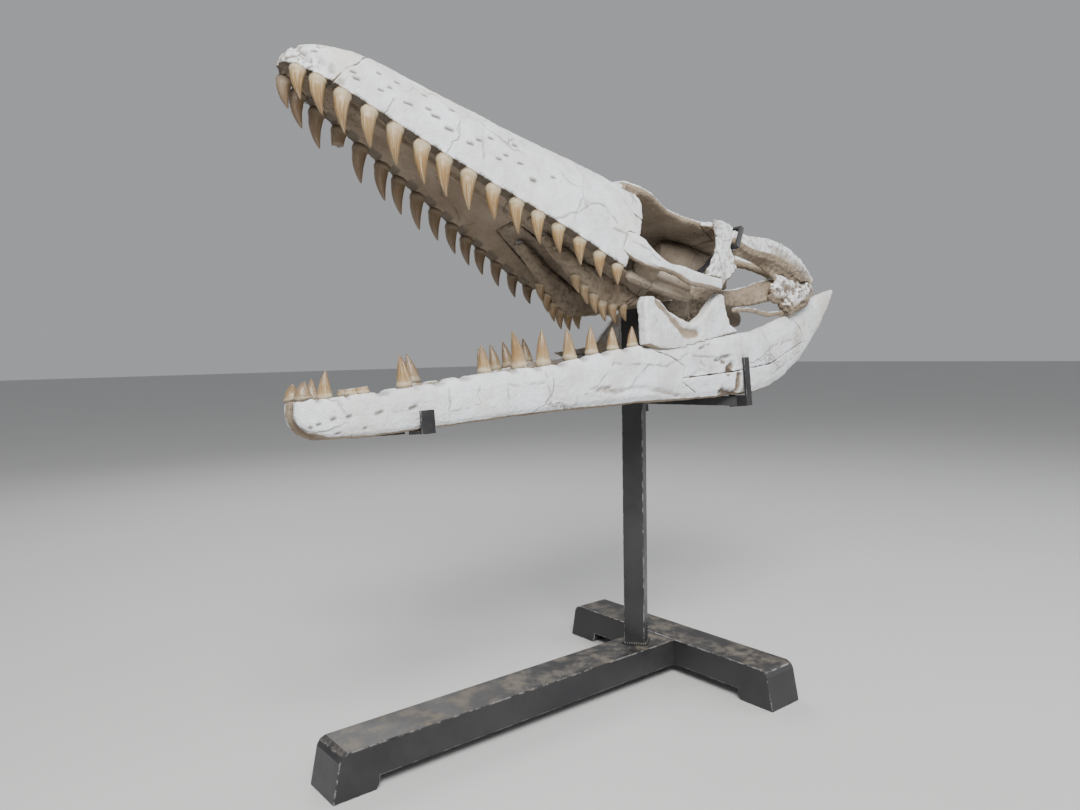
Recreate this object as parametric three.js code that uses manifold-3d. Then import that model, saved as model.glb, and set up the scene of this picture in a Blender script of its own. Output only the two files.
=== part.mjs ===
// Fossil skull of a large mosasaur, jaws agape, carried by a black steel floor stand.
// Millimetres, +Z up. The snout points to -X and the animal's left side to -Y.
// Each bone group is shaped whole and then parted along its sutures by thin cuts.

import * as THREE from "three";
import { mergeVertices } from "three/addons/utils/BufferGeometryUtils.js";
import Module from "manifold-3d";

const wasm = await Module();
wasm.setup();

// Driving sizes
// Stand
const FLOOR_GAP = 20; // underside of the beams above the floor
const BEAM_W = 80;
const BEAM_H = 50;
const LONG_FRONT = 707; // front end of the long beam, from the cross beam's front face
const CROSS_HALF = 255;
const FOOT_LENGTH = 62;
const FOOT_SPLAY = 14; // how far a foot's end plate leans out at the floor
const POST_SIZE = 40;
const POST_X = 61;
const POST_Y = -5;
const POST_TURN = 34; // degrees about the vertical
const POST_TOP = 744;
const STRAP = 5; // thickness of the steel straps
const SEAM = 0.3; // suture gap between neighbouring nodes

// Cranium pose over the stand
const TILT = 27; // snout raised
const ROLL = 5; // left side raised
const PSI = 3; // snout turned to the animal's left
const CRANIUM_AT = [160.9, 5.2, 780];

// Cranium, own frame: x = s towards the snout tip, y = t to the left, z = n up
const MARGIN_N = -41; // level of the upper tooth sockets
const SNOUT_TIP = 640;
const ORBIT_FRONT = 38;
const TOOTH_LENGTH = 54;
const TOOTH_RADIUS = 10.5;

// Mandible, own frame: before its roll and turn about the post, floor at z = 0
const JAW_PIVOT = [61, 0, 600];

// Small tools
const V = (x, y, z) => new THREE.Vector3(x, y, z);
const lerp = THREE.MathUtils.lerp;
const rad = THREE.MathUtils.degToRad;

/** Piecewise smooth value of column k of a table of rows [x, a, b, ...]. */
function at(table, x, k = 1) {
  const rows = table[0][0] > table[table.length - 1][0] ? [...table].reverse() : table;
  if (x <= rows[0][0]) return rows[0][k];
  const last = rows.length - 1;
  if (x >= rows[last][0]) return rows[last][k];
  let i = 0;
  while (rows[i + 1][0] < x) i += 1;
  const slope = (j) => {
    if (j <= 0 || j >= last) return 0;
    return (rows[j + 1][k] - rows[j - 1][k]) / (rows[j + 1][0] - rows[j - 1][0]);
  };
  const end = (j, near) => {
    if (j > 0 && j < last) return slope(j);
    return (rows[near][k] - rows[j][k]) / (rows[near][0] - rows[j][0]);
  };
  const h = rows[i + 1][0] - rows[i][0];
  const u = (x - rows[i][0]) / h;
  const m0 = end(i, i + 1) * h;
  const m1 = end(i + 1, i) * h;
  const u2 = u * u;
  const u3 = u2 * u;
  return (
    (2 * u3 - 3 * u2 + 1) * rows[i][k] +
    (u3 - 2 * u2 + u) * m0 +
    (3 * u2 - 2 * u3) * rows[i + 1][k] +
    (u3 - u2) * m1
  );
}

/** Closed solid from a geometry, turned outside out where needed. */
function solid(geometry) {
  const loose = geometry.index ? geometry.toNonIndexed() : geometry.clone();
  const bare = new THREE.BufferGeometry();
  bare.setAttribute("position", loose.getAttribute("position"));
  const merged = mergeVertices(bare, 1e-4);
  const points = new Float32Array(merged.attributes.position.array);
  const faces = new Uint32Array(merged.index.array);
  let volume = 0;
  for (let i = 0; i < faces.length; i += 3) {
    const [a, b, c] = [0, 1, 2].map((j) => V(...points.subarray(faces[i + j] * 3, faces[i + j] * 3 + 3)));
    volume += a.dot(b.cross(c));
  }
  if (volume < 0) {
    for (let i = 0; i < faces.length; i += 3) [faces[i + 1], faces[i + 2]] = [faces[i + 2], faces[i + 1]];
  }
  return new wasm.Manifold(new wasm.Mesh({ numProp: 3, vertProperties: points, triVerts: faces }));
}

/** Geometry skinned over equal rings of points, with flat caps. */
function skin(rings) {
  const n = rings[0].length;
  const tris = [];
  for (let i = 0; i + 1 < rings.length; i += 1) {
    for (let j = 0; j < n; j += 1) {
      const k = (j + 1) % n;
      tris.push(rings[i][j], rings[i + 1][j], rings[i + 1][k]);
      tris.push(rings[i][j], rings[i + 1][k], rings[i][k]);
    }
  }
  const cap = (ring, flip) => {
    const normal = V(0, 0, 0);
    ring.forEach((p, j) => {
      const q = ring[(j + 1) % n];
      normal.add(V((p.y - q.y) * (p.z + q.z), (p.z - q.z) * (p.x + q.x), (p.x - q.x) * (p.y + q.y)));
    });
    normal.normalize();
    const e = Math.abs(normal.z) < 0.9 ? V(0, 0, 1).cross(normal).normalize() : V(1, 0, 0);
    const f = normal.clone().cross(e);
    const flat = ring.map((p) => new THREE.Vector2(p.dot(e), p.dot(f)));
    for (const [a, b, c] of THREE.ShapeUtils.triangulateShape(flat, [])) {
      tris.push(ring[a], ring[flip ? c : b], ring[flip ? b : c]);
    }
  };
  cap(rings[0], false);
  cap(rings[rings.length - 1], true);
  const numbers = tris.flatMap((p) => [p.x, p.y, p.z]);
  const geometry = new THREE.BufferGeometry();
  geometry.setAttribute("position", new THREE.Float32BufferAttribute(numbers, 3));
  return geometry;
}

/** Solid through stations { at, a, b } along a path: half sizes a (side) and b (up), superellipse power. */
function bar(stations, { sides = 10, up = V(0, 0, 1), power = 2.4 } = {}) {
  const points = stations.map((q) => V(...q.at));
  const rings = stations.map((q, i) => {
    const ahead = points[Math.min(i + 1, points.length - 1)];
    const behind = points[Math.max(i - 1, 0)];
    const axis = ahead.clone().sub(behind).normalize();
    const side = up.clone().cross(axis).normalize();
    const rise = axis.clone().cross(side);
    return [...Array(sides)].map((_, j) => {
      const angle = (2 * Math.PI * (j + 0.5)) / sides;
      const c = Math.cos(angle);
      const s = Math.sin(angle);
      const x = q.a * Math.sign(c) * Math.abs(c) ** (2 / power);
      const y = q.b * Math.sign(s) * Math.abs(s) ** (2 / power);
      return points[i].clone().addScaledVector(side, x).addScaledVector(rise, y);
    });
  });
  return solid(skin(rings));
}

/** Stations along a smooth curve through the given rows [x, y, z, a, b]. */
function course(rows, steps) {
  const curve = new THREE.CatmullRomCurve3(rows.map((r) => V(r[0], r[1], r[2])), false, "centripetal");
  const sizes = rows.map((r, i) => [i / (rows.length - 1), r[3], r[4]]);
  return [...Array(steps + 1)].map((_, i) => {
    const u = i / steps;
    return { at: curve.getPoint(u).toArray(), a: at(sizes, u, 1), b: at(sizes, u, 2) };
  });
}

/** Box between two corners. */
function block(x0, x1, y0, y1, z0, z1) {
  const geometry = new THREE.BoxGeometry(x1 - x0, y1 - y0, z1 - z0);
  geometry.translate((x0 + x1) / 2, (y0 + y1) / 2, (z0 + z1) / 2);
  return solid(geometry);
}

/** Closed outline in the x-z plane through the given points, swept between y0 and y1. */
function plate(outline, y0, y1, rounding = 0) {
  const shape = new THREE.Shape(outline.map(([x, z]) => new THREE.Vector2(x, z)));
  const geometry = new THREE.ExtrudeGeometry(shape, {
    depth: y1 - y0 - 2 * rounding,
    bevelEnabled: rounding > 0,
    bevelThickness: rounding,
    bevelSize: rounding,
    bevelOffset: -rounding,
    bevelSegments: 1,
  });
  geometry.rotateX(Math.PI / 2);
  geometry.translate(0, y1 - rounding, 0);
  return solid(geometry);
}

const union = (list) => wasm.Manifold.union(list);
const mirrored = (list) => [...list, ...list.map((s) => s.mirror([0, 1, 0]))];

/** Stations of a bar made thicker and longer by a seam, to cut its neighbours with. */
function grown(stations, by = SEAM) {
  const last = stations.length - 1;
  const pushed = (i, j) => {
    const p = V(...stations[i].at);
    const d = p.clone().sub(V(...stations[j].at)).normalize();
    return p.addScaledVector(d, by).toArray();
  };
  return stations.map((q, i) => ({
    at: i === 0 ? pushed(0, 1) : i === last ? pushed(last, last - 1) : q.at,
    a: q.a + by,
    b: q.b + by,
  }));
}

/** The largest closed body of a solid. */
function largest(s) {
  return s.decompose().sort((a, b) => b.volume() - a.volume())[0];
}

/** A thin sheet along a polyline in the x-z plane: the suture cut. */
function sheet(line, y0, y1, gap = SEAM) {
  const left = [];
  const right = [];
  line.forEach(([x, z], i) => {
    const [x0, z0] = line[Math.max(i - 1, 0)];
    const [x1, z1] = line[Math.min(i + 1, line.length - 1)];
    const length = Math.hypot(x1 - x0, z1 - z0);
    const nx = (-(z1 - z0) / length) * (gap / 2);
    const nz = ((x1 - x0) / length) * (gap / 2);
    left.push([x + nx, z + nz]);
    right.push([x - nx, z - nz]);
  });
  return plate([...left, ...right.reverse()], y0, y1);
}

/** The body of a solid that holds a point; largest when the point is left out. */
function bodyAt(s, p) {
  const probe = block(p[0] - 1.5, p[0] + 1.5, p[1] - 1.5, p[1] + 1.5, p[2] - 1.5, p[2] + 1.5);
  const hits = s.decompose().map((b) => [b.intersect(probe).volume(), b]);
  const best = hits.sort((x, y) => y[0] - x[0])[0];
  if (best[0] <= 0) throw new Error("no bone at " + p);
  return best[1];
}

/** Small repeatable random numbers. */
function dice(seed) {
  let state = seed;
  return () => {
    state = (state * 1664525 + 1013904223) % 4294967296;
    return state / 4294967296;
  };
}

/** Conical, recurved tooth: swollen root, crown that leans along lean, tip at the far end. */
function tooth({ base, axis, lean, length, radius, root = 14, sides = 7 }) {
  const a = axis.clone().normalize();
  const l = lean.clone().addScaledVector(a, -lean.dot(a));
  const profile = [
    [-root, 0.9],
    [0.06 * length, 1.08],
    [0.45 * length, 0.82],
    [0.78 * length, 0.44],
    [length, 0.07],
  ];
  const stations = profile.map(([d, r]) => {
    const u = Math.max(d, 0) / length;
    const p = base.clone().addScaledVector(a, d).addScaledVector(l, u * u);
    return { at: p.toArray(), a: radius * r * 0.92, b: radius * r };
  });
  return bar(stations, { sides, up: Math.abs(a.y) > 0.8 ? V(1, 0, 0) : V(0, 1, 0), power: 2 });
}

// Cranium
// [s, half spacing of the tooth row]
const ROW = [
  [640, 5],
  [632, 14],
  [618, 22],
  [598, 30],
  [560, 38],
  [500, 46],
  [430, 56],
  [360, 68],
  [290, 81],
  [220, 96],
  [160, 106],
  [90, 112],
  [30, 117],
  [-10, 120],
];
// [s, roof height on the mid line, half width of the roof's flat, power of the arch]
const ROOF = [
  [640, -24, 0, 2.0],
  [634, -6, 0, 2.0],
  [618, 12, 0, 2.1],
  [590, 29, 0, 2.2],
  [560, 44, 0, 2.2],
  [519, 56, 0, 2.2],
  [436, 72, 0, 2.2],
  [367, 86, 0, 2.3],
  [311, 96, 0, 2.3],
  [232, 112, 0, 2.4],
  [159, 126, 0, 2.6],
  [103, 134, 0, 2.9],
  [57, 139, 0, 3.2],
  [12, 143, 0, 3.3],
];
const CHEEK = 11; // bone outside the middle of the tooth row
const LINGUAL = 12; // bone inside it
const ARCH_POINTS = 15;
const VAULT_POINTS = 7;

function snoutRing(s) {
  const b = at(ROW, s);
  const grow = THREE.MathUtils.smoothstep(SNOUT_TIP - s, 0, 60);
  const w = b + CHEEK * lerp(0.35, 1, grow);
  const top = at(ROOF, s, 1) - MARGIN_N;
  const power = at(ROOF, s, 3);
  const vault = lerp(1, Math.min(14 + 0.26 * b, 44), grow);
  const inner = Math.max(b - LINGUAL, 1);
  const ring = [];
  for (let j = 0; j < ARCH_POINTS; j += 1) {
    const angle = (Math.PI * j) / (ARCH_POINTS - 1);
    const c = Math.cos(angle);
    const t = w * Math.sign(c) * Math.abs(c) ** (2 / power);
    ring.push(V(s, t, MARGIN_N + top * Math.sin(angle) ** (2 / power)));
  }
  for (let j = 0; j < VAULT_POINTS; j += 1) {
    const u = (2 * j) / (VAULT_POINTS - 1) - 1;
    const rise = vault * (1 - u * u) ** 0.6 - 7 * Math.max(0, 1 - Math.abs(u) / 0.34) * grow;
    ring.push(V(s, inner * u, MARGIN_N + Math.max(rise, 0)));
  }
  return ring;
}

const ARCH_STATIONS = [
  ...[640, 636, 627, 612, 592, 565, 535, 500, 460],
  ...[415, 370, 320, 270, 220, 175, 130, 85, ORBIT_FRONT],
];
const arch = solid(skin(ARCH_STATIONS.map(snoutRing)));

// Upper tooth sockets: [s, size, backward lean of the tip]
const UPPER = [
  [620, 0.74, 16],
  [594, 0.86, 20],
  [558, 0.96, 20],
  [517, 0.98, 18],
  [476, 1.04, 18],
  [432, 1.02, 20],
  [395, 1.04, 20],
  [353, 1.04, 18],
  [310, 0.9, 18],
  [268, 0.88, 18],
  [229, 0.84, 18],
  [190, 0.74, 16],
  [146, 0.72, 14],
  [102, 0.68, 14],
  [60, 0.56, 12],
];
const BROKEN_RIGHT = 3; // the fourth tooth of the right side is snapped off square

function upperTeeth(side, seed) {
  const roll = dice(seed);
  return UPPER.map(([s, size, lean], i) => {
    const k = size * lerp(0.96, 1.04, roll());
    const broken = side < 0 && i === BROKEN_RIGHT;
    return tooth({
      base: V(s, side * at(ROW, s), MARGIN_N + 2),
      axis: V(-0.12 + 0.06 * roll(), side * 0.06, -1),
      lean: V(-lean, -side * 4, 0),
      length: TOOTH_LENGTH * k * (broken ? 0.5 : 1),
      radius: TOOTH_RADIUS * (0.62 + 0.38 * k),
    });
  });
}

// Roof over the orbits and the parietal table: [s, half width, mid height, half thickness]
const TABLE = [
  [70, 84, 128, 13],
  [40, 96, 133, 13],
  [12, 99, 137, 12],
  [-16, 92, 141, 11],
  [-48, 83, 148, 11],
  [-90, 83, 159, 11],
  [-130, 94, 169, 11],
  [-158, 120, 176, 11],
  [-182, 122, 181, 11],
  [-206, 84, 188, 12],
  [-232, 52, 196, 13],
  [-270, 40, 207, 14],
  [-310, 36, 217, 14],
  [-340, 38, 222, 13],
];
const table = bar(
  TABLE.map(([s, w, n, h]) => ({ at: [s, 0, n], a: w, b: h })),
  { sides: 20, power: 3.4 },
);
const tableHeight = (s) => at(TABLE, s, 2);

// Bars of the left side: [s, t, n, half thickness across, half height]
const RIM = course(
  [
    [ORBIT_FRONT + 26, 119, 6, 7, 20],
    [ORBIT_FRONT, 126, 5, 8, 25],
    [3, 130, 3, 8, 18],
    [-36, 133, 9, 7, 9],
    [-62, 134, 17, 7, 12],
    [-92, 134, 22, 7, 16],
    [-122, 133, 33, 7, 14],
    [-150, 132, 44, 7, 13],
    [-184, 130, 58, 6, 13],
  ],
  14,
);
const UPRIGHT = [
  [-128, 168],
  [-142, 148],
  [-152, 128],
  [-154, 106],
  [-148, 84],
  [-142, 66],
  [-150, 42],
  [-174, 38],
  [-192, 60],
  [-208, 88],
  [-221, 112],
  [-207, 128],
  [-187, 142],
  [-184, 186],
  [-166, 184],
  [-140, 174],
];
const ARCADE = course(
  [
    [-182, 128, 166, 8, 14],
    [-237, 133, 175, 9, 21],
    [-299, 137, 200, 9, 24],
    [-365, 138, 213, 9, 25],
    [-420, 136, 215, 10, 23],
    [-450, 133, 208, 12, 17],
  ],
  10,
);
const WING = course(
  [
    [-318, 20, 212, 13, 12],
    [-340, 46, 212, 11, 11],
    [-368, 78, 206, 10, 12],
    [-398, 104, 194, 11, 14],
    [-428, 126, 194, 12, 14],
  ],
  8,
);
const QUADRATE = course(
  [
    [-448, 132, 200, 20, 14],
    [-436, 134, 176, 25, 15],
    [-418, 134, 150, 21, 14],
    [-400, 133, 128, 18, 15],
    [-394, 133, 116, 15, 16],
  ],
  7,
);
const PTERYGOID = course(
  [
    [168, 30, -26, 12, 8],
    [100, 38, -42, 15, 15],
    [50, 46, -50, 17, 25],
    [10, 50, -50, 18, 30],
    [-40, 54, -28, 18, 27],
    [-84, 58, -2, 17, 21],
    [-134, 62, 28, 14, 17],
    [-200, 66, 58, 10, 16],
    [-255, 74, 80, 8, 17],
    [-305, 86, 106, 8, 21],
    [-345, 104, 139, 8, 25],
    [-384, 120, 164, 8, 25],
  ],
  20,
);
const ECTOPTERYGOID = course(
  [
    [-30, 66, -30, 26, 8],
    [-22, 90, -12, 24, 8],
    [-10, 112, -4, 22, 9],
    [-6, 126, 0, 20, 9],
  ],
  5,
);
const PALATINE = course(
  [
    [196, 42, -6, 30, 7],
    [120, 48, -14, 40, 8],
    [60, 52, -22, 42, 8],
    [10, 58, -26, 44, 8],
    [-34, 64, -18, 34, 8],
  ],
  6,
);
const BRAINCASE = course(
  [
    [-126, 0, 122, 16, 24],
    [-180, 0, 132, 32, 44],
    [-260, 0, 146, 37, 50],
    [-318, 0, 152, 34, 44],
  ],
  6,
);
const CONDYLE = course(
  [
    [-296, 0, 130, 26, 26],
    [-350, 0, 122, 24, 24],
    [-396, 0, 117, 22, 20],
    [-412, 0, 116, 14, 13],
  ],
  3,
);

const PTERYGOID_TEETH = [
  [84, 0.46],
  [62, 0.5],
  [40, 0.52],
  [18, 0.54],
  [-4, 0.5],
  [-26, 0.44],
];
function pterygoidTeeth() {
  return PTERYGOID_TEETH.map(([s, size]) => {
    const row = PTERYGOID.map((q) => [q.at[0], q.at[1], q.at[2], q.b]);
    return tooth({
      base: V(s, at(row, s, 1) + 4, at(row, s, 2) - at(row, s, 3) + 3),
      axis: V(-0.1, 0.1, -1),
      lean: V(-12, 0, 0),
      length: TOOTH_LENGTH * size,
      radius: TOOTH_RADIUS * 0.62,
      root: 9,
      sides: 6,
    });
  });
}

// Mandible
// [x, y of the ramus, lower edge, upper edge, half thickness]
const JAW = [
  [765, 11, 556, 577, 6],
  [759, 13, 545, 583, 10],
  [746, 17, 534, 584, 14],
  [724, 22, 525, 582, 17],
  [690, 28, 523, 585, 18],
  [640, 37, 525, 588, 18],
  [595, 44, 527, 592, 18],
  [520, 56, 531, 602, 19],
  [440, 68, 535, 609, 20],
  [370, 80, 537, 613, 21],
  [300, 92, 538, 624, 21],
  [240, 102, 539, 634, 21],
  [180, 111, 540, 640, 21],
  [110, 119, 539, 644, 20],
  [30, 125, 539, 650, 18],
  [-50, 129, 540, 656, 16],
  [-127, 131, 543, 664, 15],
  [-180, 131, 552, 674, 15],
  [-235, 131, 572, 690, 16],
  [-294, 131, 602, 709, 17],
  [-345, 131, 637, 726, 14],
  [-395, 130, 675, 743, 11],
  [-432, 130, 710, 752, 8],
  [-458, 130, 740, 757, 5],
  [-468, 130, 750, 757, 3],
];
const JAW_SIDES = 14;
function jawRing([x, y, low, high, half]) {
  const mid = (low + high) / 2;
  const h = (high - low) / 2;
  return [...Array(JAW_SIDES)].map((_, j) => {
    const angle = (2 * Math.PI * (j + 0.5)) / JAW_SIDES;
    const c = Math.cos(angle);
    const s = Math.sin(angle);
    return V(x, y + half * Math.sign(c) * Math.abs(c) ** 0.75, mid + h * Math.sign(s) * Math.abs(s) ** 0.62);
  });
}

// Lower sockets: [x, size, forward lean of the tip], a stub where the size is 0
const LOWER_LEFT = [
  [750, 0.42, -6],
  [722, 0.68, -4],
  [686, 0, 0],
  [669, 0, 0],
  [607, 0.88, 5],
  [476, 0.78, 4],
  [414, 1.06, 11],
  [370, 1.02, 0],
  [319, 0.92, 4],
  [275, 0.82, 0],
  [231, 0.68, 0],
  [188, 0.64, 0],
];
const LOWER_RIGHT = [
  [750, 0.4, -6],
  [718, 0.56, -4],
  [664, 0, 0],
  [528, 0.84, 6],
  [366, 0.78, 4],
  [334, 0.84, 4],
  [300, 0.84, 4],
  [246, 0.8, 2],
];
const STUB = 9;
function lowerTeeth(list, side, seed) {
  const roll = dice(seed);
  return list.map(([x, size, lean], i) => {
    const k = size * lerp(0.97, 1.03, roll());
    return tooth({
      base: V(x, side * at(JAW, x, 1), at(JAW, x, 3) - 2),
      axis: V(i === 0 ? 0.14 : 0.04, side * 0.04, 1),
      lean: V(lean, side * 2, 0),
      length: size ? 58 * k : STUB,
      radius: size ? 10.5 * (0.5 + 0.5 * k) : 8,
      root: 12,
    });
  });
}

// Side outline of the coronoid saddle; the right one has lost its front prong
const SADDLE_BACK = [
  [88, 686],
  [62, 680],
  [40, 680],
  [14, 692],
  [-12, 716],
  [-34, 734],
  [-50, 732],
  [-56, 704],
  [-66, 676],
  [-92, 662],
  [-36, 652],
  [30, 638],
  [92, 626],
  [140, 630],
  [178, 640],
];
const SADDLE_LEFT = [[178, 680], [178, 712], [169, 724], [152, 724], [132, 716], [112, 700], ...SADDLE_BACK];
const SADDLE_RIGHT = [[150, 652], [112, 656], [80, 659], [44, 666], ...SADDLE_BACK.slice(3, -2)];
const SADDLE_IN = 114;
const SADDLE_OUT = 138;

// Parting the skull
const BAR_HALF = 9; // half width of the bony bar between the nostrils
const barFloor = (s) => at(ROOF, s, 1) - 24;
const barLine = [170, 240, 310, 380, 450, 520].map((s) => [s, barFloor(s)]);
const floorLine = [...barLine, [562, 21]];
const aboveBar = [...floorLine, [562, 120], [170, 180]];
const barZone = (half) => plate(aboveBar, -half, half);

/** Slot of one nostril beside the bar. */
function nostril(side) {
  const stations = [150, 170, 200, 260, 330, 390, 415, 430];
  const rings = stations.map((s, i) => {
    const wide = 3 + 12 * Math.sin((Math.PI * (i + 0.2)) / (stations.length - 0.6));
    const inner = side * (BAR_HALF + 0.4);
    const outer = side * (BAR_HALF + 0.4 + wide);
    const z = barFloor(s) - 4;
    return [V(s, inner, z), V(s, outer, z + 3), V(s, outer + side * 2, z + 80), V(s, inner, z + 80)];
  });
  return solid(skin(rings));
}

const frontSuture = [
  [586, -60],
  [578, -41],
  [570, -10],
  [556, 10],
  [548, 34],
  [526, 60],
  [500, 96],
];
const frontalLine = [
  [10, 112],
  [60, 118],
  [100, 121],
  [140, 122],
  [170, 121.6],
  [230, 121],
];
const prefrontalLine = [
  [16, 60],
  [60, 64],
  [84, 84],
  [98, 108],
  [100.1, 121.1],
];
const midZone = [
  [20, -70],
  [588, -70],
  [578, -41],
  [570, -10],
  [556, 10],
  [552.4, 24.4],
  ...[...barLine].reverse(),
  [170, 121.6],
  [140, 122],
  [100, 121],
  [60, 118],
  [20, 113],
];
const cornerLine = [
  [-84, 134],
  [-118, 96],
  [-160, 86],
  [-212, 68],
  [-262, 62],
];
const parietalLine = [
  [-190, 120],
  [-194, 180],
  [-204, 240],
];

/** Upright thin sheet along a line seen from above, between two heights. */
function fence(line, z0, z1) {
  const left = line.map(([x, y]) => [V(x, y, z0), V(x, y, z1)]);
  const rings = left.map(([low, high], i) => {
    const a = line[Math.max(i - 1, 0)];
    const b = line[Math.min(i + 1, line.length - 1)];
    const d = V(b[1] - a[1], a[0] - b[0], 0).normalize().multiplyScalar(SEAM / 2);
    return [low.clone().add(d), high.clone().add(d), high.clone().sub(d), low.clone().sub(d)];
  });
  return solid(skin(rings));
}

const uprightPlate = plate(UPRIGHT, 118, 133, 4);
const grownSet = (stations, options) => {
  const s = bar(grown(stations), options);
  return [s, s.mirror([0, 1, 0])];
};
const PLAIN = { sides: 10 };
const SLIM = { sides: 8 };
const UPRIGHT_BAR = { sides: 10, up: V(0, 1, 0) };

const shell = union([arch, table, uprightPlate, uprightPlate.mirror([0, 1, 0])]);
const shellCuts = [
  sheet(frontSuture, -90, 90).subtract(barZone(BAR_HALF + 0.2)),
  barZone(BAR_HALF + SEAM).subtract(barZone(BAR_HALF)),
  sheet(floorLine, -BAR_HALF - 0.3, BAR_HALF + 0.3),
  block(170 - SEAM, 170, -BAR_HALF - 0.3, BAR_HALF + 0.3, barFloor(170) - 0.2, 200),
  plate(midZone, -SEAM / 2, SEAM / 2),
  sheet(frontalLine, -130, 130).subtract(block(170, 300, -BAR_HALF - 0.3, BAR_HALF + 0.3, 0, 300)),
  sheet(prefrontalLine, -140, 140),
  sheet(parietalLine, -90, 90),
  ...mirrored([fence(cornerLine, 130, 240)]),
  ...mirrored([nostril(1)]),
];
const parts = shell.subtract(union(shellCuts));
const jugalCut = grownSet(RIM, SLIM);
const arcadeCut = grownSet(ARCADE, SLIM);
const wingCut = grownSet(WING, SLIM);
const quadrateCut = grownSet(QUADRATE, UPRIGHT_BAR);
const pterygoidCut = grownSet(PTERYGOID, PLAIN);
const ectoCut = grownSet(ECTOPTERYGOID, SLIM);
const palatineCut = grownSet(PALATINE, PLAIN);
const tableCut = bar(
  grown(TABLE.map(([s, w, n, h]) => ({ at: [s, 0, n], a: w, b: h }))),
  { sides: 20, power: 3.4 },
);

const teethLeft = upperTeeth(1, 11);
const teethRight = upperTeeth(-1, 23);
const less = (s, cuts) => s.subtract(union(cuts));
const palateCuts = [...jugalCut, ...ectoCut, ...palatineCut, ...pterygoidCut];

const cranium = {
  premaxilla: union([bodyAt(parts, [610, 0, -20]), ...teethLeft.slice(0, 2), ...teethRight.slice(0, 2)]),
  frontal: bodyAt(parts, [-60, 0, 150]),
  parietal: less(
    union([bodyAt(parts, [-300, 0, 214]), ...mirrored([bar(WING, SLIM)])]),
    [...arcadeCut, ...quadrateCut],
  ),
};
for (const [side, label, teeth] of [[1, "left", teethLeft], [-1, "right", teethRight]]) {
  const flip = (s) => (side > 0 ? s : s.mirror([0, 1, 0]));
  const rearEdge = flip(block(0, 49, 90, 140, -60, -16));
  const maxilla = less(bodyAt(parts, [300, side * 70, 0]), [...palateCuts, rearEdge]);
  cranium["maxilla_" + label] = union([largest(maxilla), ...teeth.slice(2)]);
  cranium["prefrontal_" + label] = largest(less(bodyAt(parts, [50, side * 80, 90]), palateCuts));
  const upright = bodyAt(parts, [-176, side * 124, 120]);
  cranium["postorbital_" + label] = largest(less(upright, [...jugalCut, ...arcadeCut]));
  cranium["jugal_" + label] = flip(bar(RIM, SLIM));
  cranium["squamosal_" + label] = less(flip(bar(ARCADE, SLIM)), quadrateCut);
  cranium["quadrate_" + label] = flip(bar(QUADRATE, UPRIGHT_BAR));
  const pterygoid = flip(union([bar(PTERYGOID, PLAIN), ...pterygoidTeeth()]));
  const midLine = block(-200, 400, -0.4, 0.4, -200, 200);
  cranium["pterygoid_" + label] = less(pterygoid, quadrateCut);
  cranium["ectopterygoid_" + label] = less(flip(bar(ECTOPTERYGOID, SLIM)), [...jugalCut, ...pterygoidCut]);
  cranium["palatine_" + label] = less(flip(bar(PALATINE, PLAIN)), [...pterygoidCut, ...ectoCut, midLine]);
}
const HORN = course(
  [
    [-214, 20, 104, 14, 12],
    [-212, 46, 80, 11, 10],
    [-210, 62, 64, 10, 9],
  ],
  3,
);
cranium.braincase = less(
  union([bar(BRAINCASE, { sides: 12 }), bar(CONDYLE, PLAIN), ...mirrored([bar(HORN, SLIM)])]),
  [tableCut, ...wingCut, ...pterygoidCut],
);

// Parting the jaw
const ramus = solid(skin(JAW.map(jawRing)));
const ramusCut = solid(
  skin(JAW.map(([x, y, low, high, half]) => jawRing([x, y, low - SEAM, high + SEAM, half + SEAM]))),
);
const hingeLine = [
  [188, 670],
  [150, 628],
  [118, 618],
  [84, 598],
  [96, 572],
  [58, 552],
  [50, 520],
];
const angularLine = [
  [120, 578],
  [60, 580],
  [-60, 586],
  [-180, 598],
  [-300, 640],
  [-330, 655],
];
const articularLine = [
  [-238, 740],
  [-262, 700],
  [-300, 664],
  [-318, 630],
  [-330, 590],
];
const jawCuts = [
  sheet(hingeLine, 60, 190),
  sheet(angularLine, 60, 190).intersect(block(-326, 96, 0, 200, 400, 800)),
  sheet(articularLine, 60, 190),
];
const jawParts = ramus.subtract(union(jawCuts));
const jaw = {};
const RAMI = [
  [1, "left", LOWER_LEFT, SADDLE_LEFT],
  [-1, "right", LOWER_RIGHT, SADDLE_RIGHT],
];
for (const [side, label, list, outline] of RAMI) {
  const flip = (s) => (side > 0 ? s : s.mirror([0, 1, 0]));
  const dentary = flip(bodyAt(jawParts, [400, 76, 570]));
  jaw["dentary_" + label] = union([dentary, ...lowerTeeth(list, side, 5 + side)]);
  jaw["surangular_" + label] = flip(bodyAt(jawParts, [-80, 130, 630]));
  jaw["angular_" + label] = flip(bodyAt(jawParts, [-80, 130, 560]));
  jaw["articular_" + label] = flip(bodyAt(jawParts, [-400, 130, 710]));
  jaw["coronoid_" + label] = largest(flip(plate(outline, SADDLE_IN, SADDLE_OUT, 4).subtract(ramusCut)));
}

// Placing
const turnAbout = (pivot) =>
  new THREE.Matrix4()
    .makeTranslation(...pivot)
    .multiply(new THREE.Matrix4().makeRotationZ(rad(PSI)))
    .multiply(new THREE.Matrix4().makeRotationX(rad(ROLL)));
const craniumPose = turnAbout(CRANIUM_AT).multiply(new THREE.Matrix4().makeRotationY(rad(-TILT)));
const jawPose = turnAbout(JAW_PIVOT).multiply(
  new THREE.Matrix4().makeTranslation(...JAW_PIVOT.map((v) => -v)),
);
const placed = (s, pose) => s.transform(pose.toArray());

// Stand
const BEAM_TOP = FLOOR_GAP + BEAM_H;
const stand = {};

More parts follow.
